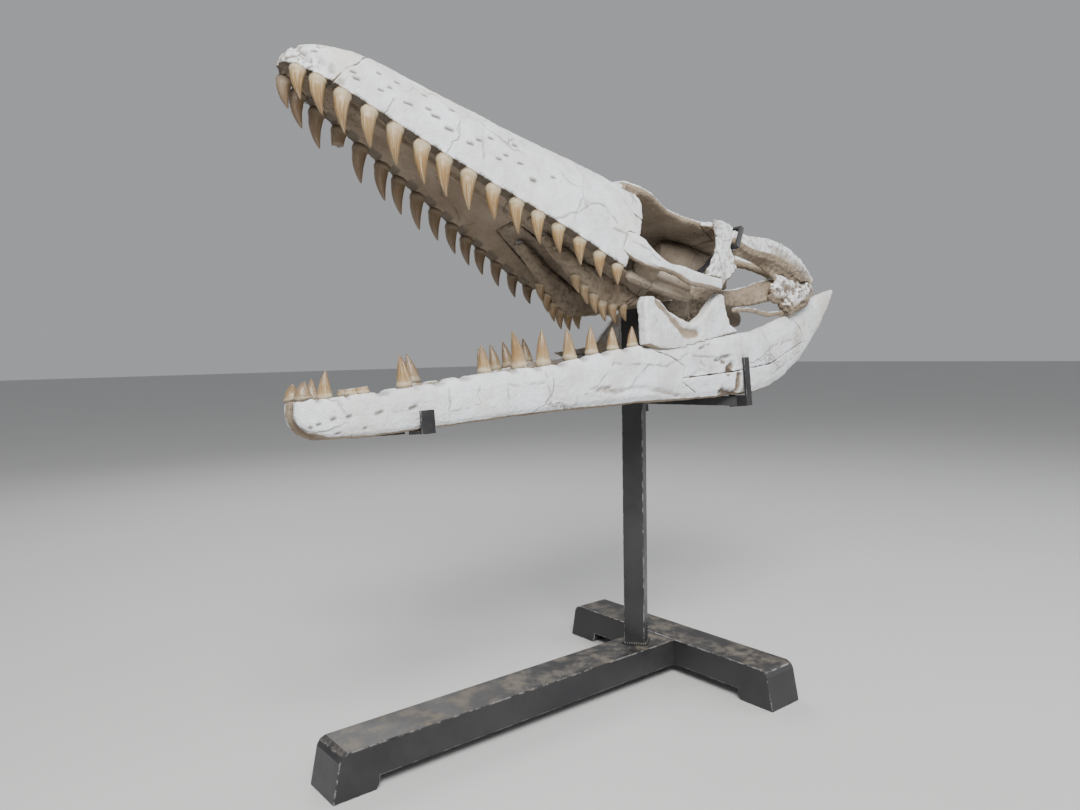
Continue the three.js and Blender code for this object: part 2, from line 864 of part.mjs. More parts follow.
/** Box beam along x, clear of the floor. */
function beam(x0, x1) {
  return block(x0, x1, -BEAM_W / 2, BEAM_W / 2, FLOOR_GAP, BEAM_TOP);
}
/** Foot at the far end of a beam: it steps down to the floor and its end leans out. */
function foot(x1) {
  const outline = [
    [x1 - FOOT_LENGTH, BEAM_TOP],
    [x1 - 12, BEAM_TOP],
    [x1 - 3, BEAM_TOP - 4],
    [x1 + 2, BEAM_TOP - 12],
    [x1 + FOOT_SPLAY, 0],
    [x1 - FOOT_LENGTH + 6, 0],
    [x1 - FOOT_LENGTH, 12],
  ];
  return plate(outline, -BEAM_W / 2, BEAM_W / 2);
}
const turned = (s, degrees, x, y) => s.rotate([0, 0, degrees]).translate([x, y, 0]);

stand.stand_beam_long = union([beam(SEAM, LONG_FRONT - FOOT_LENGTH + 10), foot(LONG_FRONT)]);
const half = union([beam(-20, CROSS_HALF - FOOT_LENGTH + 10), foot(CROSS_HALF)]);
stand.stand_beam_cross = union([turned(half, 90, -BEAM_W / 2, 0), turned(half, -90, -BEAM_W / 2, 0)]);
const POST_FOOT = BEAM_TOP + SEAM;
stand.stand_post = turned(
  block(-POST_SIZE / 2, POST_SIZE / 2, -POST_SIZE / 2, POST_SIZE / 2, POST_FOOT, POST_TOP),
  POST_TURN,
  POST_X,
  POST_Y,
);

const POST_SOCKET = turned(
  block(
    -POST_SIZE / 2 - SEAM,
    POST_SIZE / 2 + SEAM,
    -POST_SIZE / 2 - SEAM,
    POST_SIZE / 2 + SEAM,
    0,
    POST_TOP + SEAM,
  ),
  POST_TURN,
  POST_X,
  POST_Y,
);

// Steel under the mandible, in the mandible's frame
const ARM_HALF = [3.5, 9.5]; // half thickness and half height of a rear arm
const ARM_IN = 548; // height of its middle at the post
const ARM_OUT = 528.5; // and at the clip
const REAR_CLIP = { x: -88, width: 16, low: 519, outer: 612, inner: 572 };
const FRONT_CLIP = { x: 585, width: 22, low: 521.5, outer: 556, inner: 580 };
const RAIL = { z0: 560, z1: 580, half: 4, head: 8 };
const CLIP_GAP = 0.8; // air between a clip's walls and the bone

/** Strap bent up round one ramus; made bigger by grow, to cut its neighbours with. */
function clip({ x, width, low, outer, inner }, side, grow = 0) {
  const reach = at(JAW, x, 4) + CLIP_GAP - grow;
  const out = reach + STRAP + 2 * grow;
  const under = at(JAW, x, 2) - 0.6 + grow;
  const w = width / 2 + grow;
  const s = union([
    block(-w, w, -out, out, low - grow, under),
    block(-w, w, reach, out, low - grow, outer + grow),
    block(-w, w, -out, -reach, low - grow, inner + grow),
  ]);
  const slope = (Math.atan2(at(JAW, x + 10, 1) - at(JAW, x - 10, 1), 20) * 180) / Math.PI;
  const left = turned(s, slope, x, at(JAW, x, 1));
  return side > 0 ? left : left.mirror([0, 1, 0]);
}
/** Straight flat bar between two points. */
function flatBar(from, to, [thick, high]) {
  const stations = [from, to].map((p) => ({ at: p, a: thick, b: high }));
  return bar(stations, { sides: 4, power: 60 });
}
const frontCuts = [1, -1].map((side) => clip(FRONT_CLIP, side, SEAM));
const railBar = union([
  block(60, FRONT_CLIP.x + RAIL.head / 2, -RAIL.half, RAIL.half, RAIL.z0, RAIL.z1),
  block(FRONT_CLIP.x - RAIL.head / 2, FRONT_CLIP.x + RAIL.head / 2, -30, 30, RAIL.z0, RAIL.z1),
]).subtract(union(frontCuts));
stand.stand_rail = less(placed(bodyAt(railBar, [300, 0, 570]), jawPose), [POST_SOCKET]);
for (const [side, label] of [[1, "left"], [-1, "right"]]) {
  const tip = [REAR_CLIP.x, side * at(JAW, REAR_CLIP.x, 1), ARM_OUT];
  const arm = flatBar([64, side * 2, ARM_IN], tip, ARM_HALF).subtract(clip(REAR_CLIP, side, SEAM));
  stand["stand_arm_" + label] = less(placed(largest(arm), jawPose), [POST_SOCKET]);
  stand["stand_clip_rear_" + label] = placed(clip(REAR_CLIP, side), jawPose);
  stand["stand_clip_front_" + label] = placed(clip(FRONT_CLIP, side), jawPose);
}

// Steel under the cranium, in the cranium's frame
const PAD_S = -140;
const PAD_N = 92;
const PAD_LENGTH = 44;
const PAD_HALF = 20;
const CLAMP_S = -193.5;
const CLAMP_HALF = 5;
const CLAMP_WALL = 4;
const CLAMP_T = [118.5, 138.4];
const CLAMP_N = [149, 185];
const ROD = 5;
const padCentre = V(PAD_S, 0, PAD_N - 20).applyMatrix4(craniumPose);
const yoke = union([
  bar(
    [
      { at: [POST_X, POST_Y, POST_TOP - 12], a: 16, b: 16 },
      { at: padCentre.toArray(), a: 12, b: 12 },
    ],
    { sides: 8, up: V(1, 0, 0), power: 6 },
  ),
  placed(
    block(PAD_S - PAD_LENGTH / 2, PAD_S + PAD_LENGTH / 2, -PAD_HALF, PAD_HALF, PAD_N - 28, PAD_N + 12),
    craniumPose,
  ),
]);
const braincaseCut = placed(
  union([bar(grown(BRAINCASE), { sides: 12 }), bar(grown(CONDYLE), PLAIN)]),
  craniumPose,
);
stand.stand_yoke = less(yoke, [POST_SOCKET, braincaseCut]);
const yokeCut = placed(
  block(
    PAD_S - PAD_LENGTH / 2 - SEAM,
    PAD_S + PAD_LENGTH / 2 + SEAM,
    -PAD_HALF - SEAM,
    PAD_HALF + SEAM,
    PAD_N - 28 - SEAM,
    PAD_N + 12,
  ),
  craniumPose,
);
const ROD_PATH = course(
  [
    [PAD_S, 12, PAD_N - 20, ROD, ROD],
    [-166, 50, 78, ROD, ROD],
    [-179, 80, 95, ROD, ROD],
    [-182, 100, 126, ROD, ROD],
    [CLAMP_S, CLAMP_T[0] - 3, CLAMP_N[0] - 2, ROD, ROD],
  ],
  7,
);
const clamp = union([
  bar(ROD_PATH, SLIM),
  block(
    CLAMP_S - CLAMP_HALF,
    CLAMP_S + CLAMP_HALF,
    CLAMP_T[0] - CLAMP_WALL,
    CLAMP_T[1] + CLAMP_WALL,
    CLAMP_N[0] - CLAMP_WALL,
    CLAMP_N[1] + CLAMP_WALL,
  ),
]).subtract(
  block(CLAMP_S - CLAMP_HALF - 1, CLAMP_S + CLAMP_HALF + 1, ...CLAMP_T, ...CLAMP_N),
);
for (const [side, label] of [[1, "left"], [-1, "right"]]) {
  const s = side > 0 ? clamp : clamp.mirror([0, 1, 0]);
  stand["stand_clamp_" + label] = less(placed(s, craniumPose), [yokeCut, braincaseCut]);
}

// Assembly
const solids = [
  ...Object.entries(cranium).map(([name, s]) => [name, placed(s, craniumPose)]),
  ...Object.entries(jaw).map(([name, s]) => [name, placed(s, jawPose)]),
  ...Object.entries(stand),
];
const extent = new THREE.Box3();
for (const [, s] of solids) {
  const box = s.boundingBox();
  extent.expandByPoint(V(...box.min));
  extent.expandByPoint(V(...box.max));
}
const centre = extent.getCenter(V(0, 0, 0));
/** Half a turn, so that the snout points to -X, and the origin under the middle of the whole. */
const finalPose = new THREE.Matrix4()
  .makeTranslation(centre.x, centre.y, -extent.min.z)
  .multiply(new THREE.Matrix4().makeScale(-1, -1, 1));

const BONE = { color: 0xe4e2dc, roughness: 0.62, metalness: 0 };
const STEEL = { color: 0x17171a, roughness: 0.42, metalness: 0.6 };
const model = new THREE.Group();
for (const [name, s] of solids) {
  const mesh = placed(largest(s), finalPose).getMesh();
  const points = new Float32Array(mesh.numVert * 3);
  for (let i = 0; i < mesh.numVert; i += 1) {
    points.set(mesh.vertProperties.subarray(i * mesh.numProp, i * mesh.numProp + 3), i * 3);
  }
  const geometry = new THREE.BufferGeometry();
  geometry.setAttribute("position", new THREE.BufferAttribute(points, 3));
  geometry.setIndex(new THREE.BufferAttribute(new Uint32Array(mesh.triVerts), 1));
  geometry.computeVertexNormals();
  const look = name.startsWith("stand_") ? STEEL : BONE;
  const made = new THREE.Mesh(geometry, new THREE.MeshStandardMaterial(look));
  made.name = name;
  model.add(made);
}

export default model;
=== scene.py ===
"""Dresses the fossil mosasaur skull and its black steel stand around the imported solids."""
import logging
import math
from dataclasses import dataclass, field
from enum import Enum

import bmesh
import bpy
import numpy as np
from mathutils import Matrix, Quaternion, Vector, noise


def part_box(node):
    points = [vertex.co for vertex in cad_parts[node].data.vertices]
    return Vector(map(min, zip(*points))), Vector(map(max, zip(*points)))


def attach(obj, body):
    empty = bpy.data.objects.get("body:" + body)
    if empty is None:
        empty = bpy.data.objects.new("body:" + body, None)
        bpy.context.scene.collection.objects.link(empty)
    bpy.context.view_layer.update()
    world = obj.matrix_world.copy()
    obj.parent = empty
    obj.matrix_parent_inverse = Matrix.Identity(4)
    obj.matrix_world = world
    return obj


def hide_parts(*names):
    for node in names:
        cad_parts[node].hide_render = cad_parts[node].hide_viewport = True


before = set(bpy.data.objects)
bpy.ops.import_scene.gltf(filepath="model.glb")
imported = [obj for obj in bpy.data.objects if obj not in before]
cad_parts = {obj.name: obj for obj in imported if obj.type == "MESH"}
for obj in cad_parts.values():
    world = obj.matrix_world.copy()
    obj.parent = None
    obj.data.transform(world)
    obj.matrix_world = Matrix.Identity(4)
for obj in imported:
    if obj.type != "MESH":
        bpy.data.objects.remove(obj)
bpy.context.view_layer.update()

MM = 0.001
# How near doubled corners are, in metres
WELD = 1e-5
LOG = logging.getLogger("skull")

# Sizes of the skull, in millimetres, as the solids have them
POST_X = 61.0
POST_Y = -5.0
TILT = 27.0
ROLL = 5.0
PSI = 3.0
CRANIUM_AT = (160.9, 5.2, 780.0)
JAW_PIVOT = (61.0, 0.0, 600.0)
MARGIN_N = -41.0
TOOTH_LENGTH = 54.0
TOOTH_RADIUS = 10.5
LOWER_LENGTH = 58.0
STUB = 9.0
BROKEN_RIGHT = 3
# [s, half spacing of the tooth row]
ROW = (
    (-10, 120), (30, 117), (90, 112), (160, 106), (220, 96), (290, 81), (360, 68), (430, 56),
    (500, 46), (560, 38), (598, 30), (618, 22), (632, 14), (640, 5),
)
# [socket, size, backward lean of the tip]
UPPER = (
    (620, 0.74, 16), (594, 0.86, 20), (558, 0.96, 20), (517, 0.98, 18), (476, 1.04, 18),
    (432, 1.02, 20), (395, 1.04, 20), (353, 1.04, 18), (310, 0.9, 18), (268, 0.88, 18),
    (229, 0.84, 18), (190, 0.74, 16), (146, 0.72, 14), (102, 0.68, 14), (60, 0.56, 12),
)
PREMAXILLA_TEETH = 2
# [x, y of the ramus, upper edge, half thickness]
RAMUS = (
    (-294, 131, 709, 17), (-235, 131, 690, 16), (-180, 131, 674, 15), (-127, 131, 664, 15),
    (-50, 129, 656, 16), (30, 125, 650, 18), (110, 119, 644, 20), (180, 111, 640, 21),
    (240, 102, 634, 21), (300, 92, 624, 21), (370, 80, 613, 21), (440, 68, 609, 20),
    (520, 56, 602, 19), (595, 44, 592, 18), (640, 37, 588, 18), (690, 28, 585, 18),
    (724, 22, 582, 17), (746, 17, 584, 14), (759, 13, 583, 10), (765, 11, 577, 6),
)
# [socket, size, forward lean of the tip], a stub where the size is 0
LOWER_LEFT = (
    (750, 0.42, -6), (722, 0.68, -4), (686, 0, 0), (669, 0, 0), (607, 0.88, 5), (476, 0.78, 4),
    (414, 1.06, 11), (370, 1.02, 0), (319, 0.92, 4), (275, 0.82, 0), (231, 0.68, 0), (188, 0.64, 0),
)
LOWER_RIGHT = (
    (750, 0.4, -6), (718, 0.56, -4), (664, 0, 0), (528, 0.84, 6), (366, 0.78, 4), (334, 0.84, 4),
    (300, 0.84, 4), (246, 0.8, 2),
)


def along(table: tuple, x: float | np.ndarray, column: int = 1) -> float | np.ndarray:
    """Reads a column of a table of rows sorted by their first value.

    Args:
        table: The rows.
        x: Where to read it.
        column: Which column.

    Returns:
        The value between the two nearest rows.
    """
    rows = np.array(table, float)
    return np.interp(x, rows[:, 0], rows[:, column])


def ease(low: float, high: float, x: np.ndarray) -> np.ndarray:
    """Smooth step of x from 0 at low to 1 at high, which may be the lower of the two."""
    u = np.clip((x - low) / (high - low), 0.0, 1.0)
    return u * u * (3.0 - 2.0 * u)


class Side(Enum):
    """The two sides of the animal, with their sign across it."""

    LEFT = 1
    RIGHT = -1

    @property
    def label(self) -> str:
        """The word that the nodes' names end with."""
        return self.name.lower()


@dataclass
class Dice:
    """Repeatable draws between 0 and 1, from a seed."""

    state: int

    def __call__(self) -> float:
        """Returns the next draw."""
        self.state = (self.state * 1664525 + 1013904223) % 4294967296
        return self.state / 4294967296


@dataclass
class SkullFrames:
    """Matrices from the cranium's and the mandible's own millimetres to the row frame."""

    cranium: Matrix = field(init=False)
    jaw: Matrix = field(init=False)

    def __post_init__(self) -> None:
        """Works out both matrices from the place of the post."""
        low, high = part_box("stand_post")
        middle = (low + high) / 2
        shift = Matrix.Translation((middle.x + POST_X * MM, middle.y + POST_Y * MM, 0.0))
        whole = shift @ Matrix.Rotation(math.pi, 4, "Z") @ Matrix.Scale(MM, 4)
        lean = Matrix.Rotation(math.radians(PSI), 4, "Z") @ Matrix.Rotation(math.radians(ROLL), 4, "X")
        raised = Matrix.Rotation(math.radians(-TILT), 4, "Y")
        self.cranium = whole @ Matrix.Translation(CRANIUM_AT) @ lean @ raised
        back = Matrix.Translation(Vector(JAW_PIVOT)).inverted()
        self.jaw = whole @ Matrix.Translation(JAW_PIVOT) @ lean @ back


# Shader groups and finishes

def new_group(name: str, inputs: dict, outputs: tuple) -> bpy.types.NodeTree:
    """Starts a shader node group with named float inputs and outputs.

    Args:
        name: The group's name.
        inputs: Name and default of each input.
        outputs: Name of each output.

    Returns:
        The group, with its input and output nodes in place.
    """
    tree = bpy.data.node_groups.new(name, "ShaderNodeTree")
    for label, value in inputs.items():
        socket = tree.interface.new_socket(label, in_out="INPUT", socket_type="NodeSocketFloat")
        socket.default_value = value
    for label in outputs:
        tree.interface.new_socket(label, in_out="OUTPUT", socket_type="NodeSocketFloat")
    tree.nodes.new("NodeGroupInput").name = "in"
    tree.nodes.new("NodeGroupOutput").name = "out"
    return tree


@dataclass
class Wiring:
    """Adds and links the nodes of one tree."""

    tree: bpy.types.NodeTree

    def set(self, socket: bpy.types.NodeSocket, value: object) -> None:
        """Links or sets one input socket, where a colour may be given without its alpha."""
        if isinstance(value, bpy.types.NodeSocket):
            self.tree.links.new(value, socket)
        elif socket.type == "RGBA":
            socket.default_value = (*value, 1)
        else:
            socket.default_value = value

    def fill(self, node: bpy.types.Node, inputs: dict) -> None:
        """Links or sets inputs of a node, by name or number."""
        for label, value in inputs.items():
            self.set(node.inputs[label], value)

    def add(self, kind: str, inputs: dict, **settings: object) -> bpy.types.Node:
        """Adds a node.

        Args:
            kind: The end of its type's name.
            inputs: Its linked or set inputs, by name or number.
            **settings: Its own settings.

        Returns:
            The node.
        """
        node = self.tree.nodes.new("ShaderNode" + kind)
        for label, value in settings.items():
            setattr(node, label, value)
        self.fill(node, inputs)
        return node

    def given(self, name: str) -> bpy.types.NodeSocket:
        """Reads an input of the group that is worked on."""
        return self.tree.nodes["in"].outputs[name]

    def give(self, name: str, value: object) -> None:
        """Links an output of the group that is worked on."""
        self.set(self.tree.nodes["out"].inputs[name], value)

    def math(self, kind: str, *values: object) -> bpy.types.NodeSocket:
        """Adds a Math node and returns its result."""
        return self.add("Math", dict(enumerate(values)), operation=kind).outputs[0]

    def span(self, value: object, low: float, high: float, to: tuple = (0.0, 1.0)) -> bpy.types.NodeSocket:
        """Smooth Map Range of a value from low..high to the given range."""
        inputs = dict(enumerate((value, low, high, *to)))
        return self.add("MapRange", inputs, interpolation_type="SMOOTHSTEP").outputs[0]

    def mix(self, share: object, a: object, b: object) -> bpy.types.NodeSocket:
        """Mixes two colours by a share, and returns the result."""
        return self.add("Mix", {"Factor": share, 6: a, 7: b}, data_type="RGBA").outputs[2]

    def noise(
        self, where: object, scale: object, detail: float, rough: float = 0.55,
    ) -> bpy.types.NodeSocket:
        """Adds a Noise Texture and returns its value."""
        inputs = {"Vector": where, "Scale": scale, "Detail": detail, "Roughness": rough}
        return self.add("TexNoise", inputs).outputs[0]

    def read(self, name: str) -> bpy.types.Node:
        """Adds an Attribute node that reads a mesh attribute."""
        return self.add("Attribute", {}, attribute_name=name)

    def place(self) -> bpy.types.NodeSocket:
        """Adds Object coordinates."""
        return self.add("TexCoord", {}).outputs["Object"]

    def group(self, name: str, **values: object) -> bpy.types.Node:
        """Places a shader group with its input values."""
        return self.add("Group", values, node_tree=bpy.data.node_groups[name])

    def bump(self, height: object, distance: float, strength: float) -> bpy.types.NodeSocket:
        """Adds a Bump node and returns its normal."""
        inputs = {"Distance": distance, "Strength": strength, "Height": height}
        return self.add("Bump", inputs).outputs[0]


def build_groups() -> None:
    """Makes the shader groups that several finishes share: grain, cracks and dust."""
    w = Wiring(new_group("grain", {"Coarse": 16.0, "Fine": 260.0}, ("Mottle", "Grain", "Height")))
    where = w.place()
    mottle = w.noise(where, w.given("Coarse"), 6.0, 0.62)
    fine = w.noise(where, w.given("Fine"), 5.0, 0.6)
    w.give("Mottle", w.span(mottle, 0.36, 0.66))
    w.give("Grain", fine)
    w.give("Height", w.math("MULTIPLY_ADD", fine, 0.6, w.math("MULTIPLY", mottle, 0.9)))

    w = Wiring(new_group("cracks", {"Scale": 11.0, "Width": 0.02, "Amount": 0.5}, ("Crack",)))
    where = w.place()
    wander = w.add("TexNoise", {"Scale": 22.0, "Detail": 4.0, "Vector": where})
    shifted = {0: wander.outputs["Color"], 1: (0.06, 0.06, 0.06), 2: where}
    shift = w.add("VectorMath", shifted, operation="MULTIPLY_ADD")
    spread = {"Vector": shift.outputs[0], "Scale": w.given("Scale")}
    cells = w.add("TexVoronoi", spread, feature="DISTANCE_TO_EDGE")
    near = w.math("DIVIDE", cells.outputs["Distance"], w.given("Width"))
    line = w.math("SUBTRACT", 1.0, w.math("MINIMUM", near, 1.0))
    patchy = w.span(w.noise(where, 7.0, 3.0), 0.5, 0.62)
    w.give("Crack", w.math("MULTIPLY", w.math("MULTIPLY", line, patchy), w.given("Amount")))

    w = Wiring(new_group("dust", {"Amount": 0.5, "Scale": 30.0}, ("Dust",)))
    parts = w.add("SeparateXYZ", {0: w.add("NewGeometry", {}).outputs["Normal"]})
    level = w.span(parts.outputs["Z"], 0.55, 0.95)
    specks = w.span(w.noise(w.place(), w.given("Scale"), 6.0, 0.7), 0.42, 0.66)
    w.give("Dust", w.math("MULTIPLY", w.math("MULTIPLY", level, specks), w.given("Amount")))


def new_material(name: str) -> tuple:
    """Starts a material.

    Args:
        name: Its name.

    Returns:
        The material, its wiring and its Principled BSDF.
    """
    material = bpy.data.materials.new(name)
    material.use_nodes = True
    return material, Wiring(material.node_tree), material.node_tree.nodes["Principled BSDF"]


@dataclass(frozen=True)
class BoneFinish:
    """Matt fossil bone: clean outside, brown below and inside with staining and painted shade, and painted
    shade in its pits and cracks.
    """

    name: str
    clean: tuple
    grey: tuple
    # Brown below and inside: partly the bone's staining, partly painted shade
    stain: tuple
    deep: tuple
    # Colour of the painted shade in pits, holes and cracks
    dark: tuple
    warm: tuple = (0.60, 0.555, 0.47)
    crack: float = 0.55

    def build(self) -> bpy.types.Material:
        """Returns the material."""
        material, w, shader = new_material(self.name)
        grain = w.group("grain", Coarse=17.0, Fine=300.0)
        cracks = w.group("cracks", Scale=9.0, Width=0.022, Amount=self.crack)
        mottle = grain.outputs["Mottle"]
        flecks = w.span(w.noise(w.place(), 95.0, 5.0, 0.7), 0.6, 0.74)
        outer = w.mix(mottle, self.clean, self.grey)
        patch = w.span(w.noise(w.place(), 8.0, 5.0, 0.65), 0.52, 0.7)
        outer = w.mix(w.math("MULTIPLY", patch, 0.62), outer, self.warm)
        outer = w.mix(w.math("MULTIPLY", flecks, 0.4), outer, self.deep)
        # Brown below and on the inner sides, partly staining and partly painted shade
        inner = w.mix(mottle, self.stain, self.deep)
        uneven = w.math("SUBTRACT", mottle, 0.5)
        pushed = w.math("MULTIPLY_ADD", uneven, 0.34, w.read("stain").outputs["Fac"])
        base = w.mix(w.span(pushed, 0.2, 0.8), outer, inner)
        # Painted shade in pits, holes, hollows, socket gaps and over the braincase, then along the cracks
        base = w.mix(w.math("MULTIPLY", w.read("pit").outputs["Fac"], 0.9), base, self.dark)
        base = w.mix(cracks.outputs["Crack"], base, self.dark)
        rough = w.span(grain.outputs["Grain"], 0.3, 0.7, (0.62, 0.86))
        groove = w.math("MULTIPLY", cracks.outputs["Crack"], 0.8)
        relief = w.bump(w.math("SUBTRACT", grain.outputs["Height"], groove), 0.0036, 0.95)
        w.fill(shader, {
            "Base Color": base, "Roughness": rough, "Normal": relief, "Specular IOR Level": 0.35,
        })
        return material


@dataclass(frozen=True)
class EnamelFinish:
    """Old tooth: dull cream foot, honey crown with fine ridges, brown tip."""

    name: str = "tooth_enamel"

    def build(self) -> bpy.types.Material:
        """Returns the material."""
        material, w, shader = new_material(self.name)
        height = w.read("height").outputs["Fac"]
        tint = w.read("tint").outputs["Fac"]
        around = w.read("around").outputs["Vector"]
        streak = w.noise(around, 3.2, 4.0, 0.6)
        blotch = w.noise(w.place(), 70.0, 4.0, 0.6)
        level = w.math("MULTIPLY_ADD", w.math("SUBTRACT", blotch, 0.5), 0.34, height)
        ramp = w.add("ValToRGB", {0: level})
        stops = (
            (0.0, (0.13, 0.095, 0.065)), (0.05, (0.28, 0.225, 0.15)), (0.15, (0.42, 0.355, 0.245)),
            (0.24, (0.33, 0.23, 0.11)), (0.40, (0.27, 0.16, 0.06)), (0.72, (0.22, 0.13, 0.053)),
            (1.0, (0.18, 0.11, 0.055)),
        )
        ramp.color_ramp.elements[0].color = (*stops[0][1], 1)
        ramp.color_ramp.elements[1].color = (*stops[-1][1], 1)
        for at, colour in stops[1:-1]:
            ramp.color_ramp.elements.new(at).color = (*colour, 1)
        streaks = w.math("MULTIPLY", w.span(streak, 0.5, 0.64), 0.75)
        base = w.mix(streaks, ramp.outputs[0], (0.47, 0.385, 0.24))
        # Darker brown for the tooth's own tone, and as painted shade on teeth that lie in shadow
        base = w.mix(w.math("MULTIPLY", tint, 0.85), base, (0.125, 0.09, 0.064))
        crown = w.span(height, 0.16, 0.3)
        rough = w.math("MULTIPLY_ADD", crown, -0.34, 0.66)
        coat = w.math("MULTIPLY", crown, 0.35)
        ridges = w.math("MULTIPLY", w.noise(around, 9.0, 2.0, 0.5), crown)
        relief = w.bump(w.math("ADD", ridges, w.math("MULTIPLY", blotch, 0.4)), 0.0012, 0.7)
        w.fill(shader, {
            "Base Color": base, "Roughness": rough, "Coat Weight": coat, "Coat Roughness": 0.22,
            "Normal": relief,
        })
        return material


@dataclass(frozen=True)
class SteelFinish:
    """Black satin paint, rubbed bright along the edges, with dust on top."""

    name: str
    paint: tuple = (0.012, 0.012, 0.014)
    bright: tuple = (0.30, 0.29, 0.28)
    dust: tuple = (0.21, 0.18, 0.14)

    def build(self) -> bpy.types.Material:
        """Returns the material."""
        material, w, shader = new_material(self.name)
        grain = w.group("grain", Coarse=9.0, Fine=420.0)
        dust = w.group("dust", Amount=0.5, Scale=26.0).outputs["Dust"]
        chips = w.span(w.noise(w.place(), 60.0, 5.0, 0.7), 0.46, 0.6)
        rub = w.math("MULTIPLY", w.read("edge").outputs["Fac"], chips)
        base = w.mix(grain.outputs["Mottle"], self.paint, (0.026, 0.025, 0.026))
        base = w.mix(dust, base, self.dust)
        base = w.mix(w.math("MULTIPLY", rub, 0.8), base, self.bright)
        metal = w.math("MULTIPLY", rub, 0.6)
        rough = w.math("MULTIPLY_ADD", dust, 0.5, w.span(grain.outputs["Mottle"], 0.0, 1.0, (0.32, 0.48)))
        relief = w.bump(grain.outputs["Grain"], 0.0003, 0.5)
        w.fill(shader, {"Base Color": base, "Metallic": metal, "Roughness": rough, "Normal": relief})
        return material


@dataclass(frozen=True)
class FloorFinish:
    """Plain pale floor."""

    name: str = "pale_floor"

    def build(self) -> bpy.types.Material:
        """Returns the material."""
        material, w, shader = new_material(self.name)
        shade = w.noise(w.place(), 1.3, 3.0)
        base = w.mix(shade, (0.50, 0.50, 0.50), (0.54, 0.54, 0.535))
        w.fill(shader, {"Base Color": base, "Roughness": 0.7})
        return material


def solid_of(node: str) -> bmesh.types.BMesh:
    """Copies a node's solid and joins its doubled corners."""
    bm = bmesh.new()
    bm.from_mesh(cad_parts[node].data)
    bmesh.ops.remove_doubles(bm, verts=bm.verts, dist=WELD)
    return bm


def put(name: str, data: bpy.types.ID) -> bpy.types.Object:
    """Makes an object of some data and links it into the scene."""
    made = bpy.data.objects.new(name, data)
    bpy.context.scene.collection.objects.link(made)
    return made


class Workshop:
    """Makes, dresses and counts the pieces, and holds the finishes."""

    def __init__(self) -> None:
        """Builds the shader groups and the finishes."""
        build_groups()
        self.frames = SkullFrames()
        self.bone = BoneFinish(
            "outer_bone", (0.70, 0.72, 0.755), (0.56, 0.567, 0.565), (0.215, 0.165, 0.115),
            (0.29, 0.235, 0.175), (0.085, 0.07, 0.055),
        ).build()
        # Brown bone of the palate and braincase: partly staining, partly painted shade
        self.stained = BoneFinish(
            "stained_bone", (0.34, 0.28, 0.215), (0.40, 0.34, 0.27), (0.20, 0.158, 0.115),
            (0.27, 0.22, 0.165), (0.07, 0.055, 0.045), (0.36, 0.285, 0.205), 0.5,
        ).build()
        self.enamel = EnamelFinish().build()
        self.steel = SteelFinish("black_steel").build()

    def link(
        self, name: str, mesh: bpy.types.Mesh, material: bpy.types.Material, slot: str,
    ) -> bpy.types.Object:
        """Puts a finished mesh into the scene as a piece that rides on the one body.

        Args:
            name: The piece's name.
            mesh: Its mesh, in the row frame.
            material: Its finish.
            slot: The record's slot of that finish; not used.

        Returns:
            The piece.
        """
        piece = put(name, mesh)
        mesh.materials.clear()
        mesh.materials.append(material)
        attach(piece, "root")
        LOG.info("%s: %d faces", name, len(mesh.polygons))
        return piece

    @staticmethod
    def mesh_of(bm: bmesh.types.BMesh, name: str, smooth: bool = True) -> bpy.types.Mesh:
        """Turns a bmesh into a mesh and frees it."""
        mesh = bpy.data.meshes.new(name)
        bm.to_mesh(mesh)
        bm.free()
        mesh.polygons.foreach_set("use_smooth", [smooth] * len(mesh.polygons))
        return mesh

    @staticmethod
    def store(mesh: bpy.types.Mesh, name: str, values: np.ndarray) -> None:
        """Writes one number per vertex as a mesh attribute."""
        layer = mesh.attributes.new(name, "FLOAT", "POINT")
        layer.data.foreach_set("value", np.ascontiguousarray(values, dtype=np.float32))


@dataclass(frozen=True)
class Mark:
    """A pit, slit, crack or hollow on a bone, along a line in the bone's own millimetres.

    A mark fades over its reach, sinks the bone by its depth, darkens it with painted shade, and browns it
    with staining and painted shade.
    """

    line: tuple
    reach: float
    depth: float
    dark: float
    stain: float = 0.0
    wander: float = 0.0

    def mirrored(self) -> "Mark":
        """Returns the like mark of the other side, a little shifted along the bone."""
        line = tuple((x - 8, -y, z + 2) for x, y, z in self.line)
        return Mark(line, self.reach, self.depth, self.dark, self.stain, self.wander)

    def nearness(self, local: np.ndarray, drift: np.ndarray) -> np.ndarray:
        """How much each point is in the mark.

        Args:
            local: The points in the bone's own millimetres.
            drift: An uneven shift of each point, which keeps a long crack from lying straight.

        Returns:
            One number per point, from 0 outside to 1 in its middle.
        """
        spots = local + drift * self.wander
        ends = np.array(self.line, float)
        away = np.linalg.norm(spots - ends[0], axis=1)
        for start, stop in zip(ends[:-1], ends[1:]):
            run = stop - start
            share = np.clip((spots - start) @ run / (run @ run), 0.0, 1.0)
            away = np.minimum(away, np.linalg.norm(spots - start - share[:, None] * run, axis=1))
        return np.exp(-((away / self.reach) ** 3))


# Where the marks lie

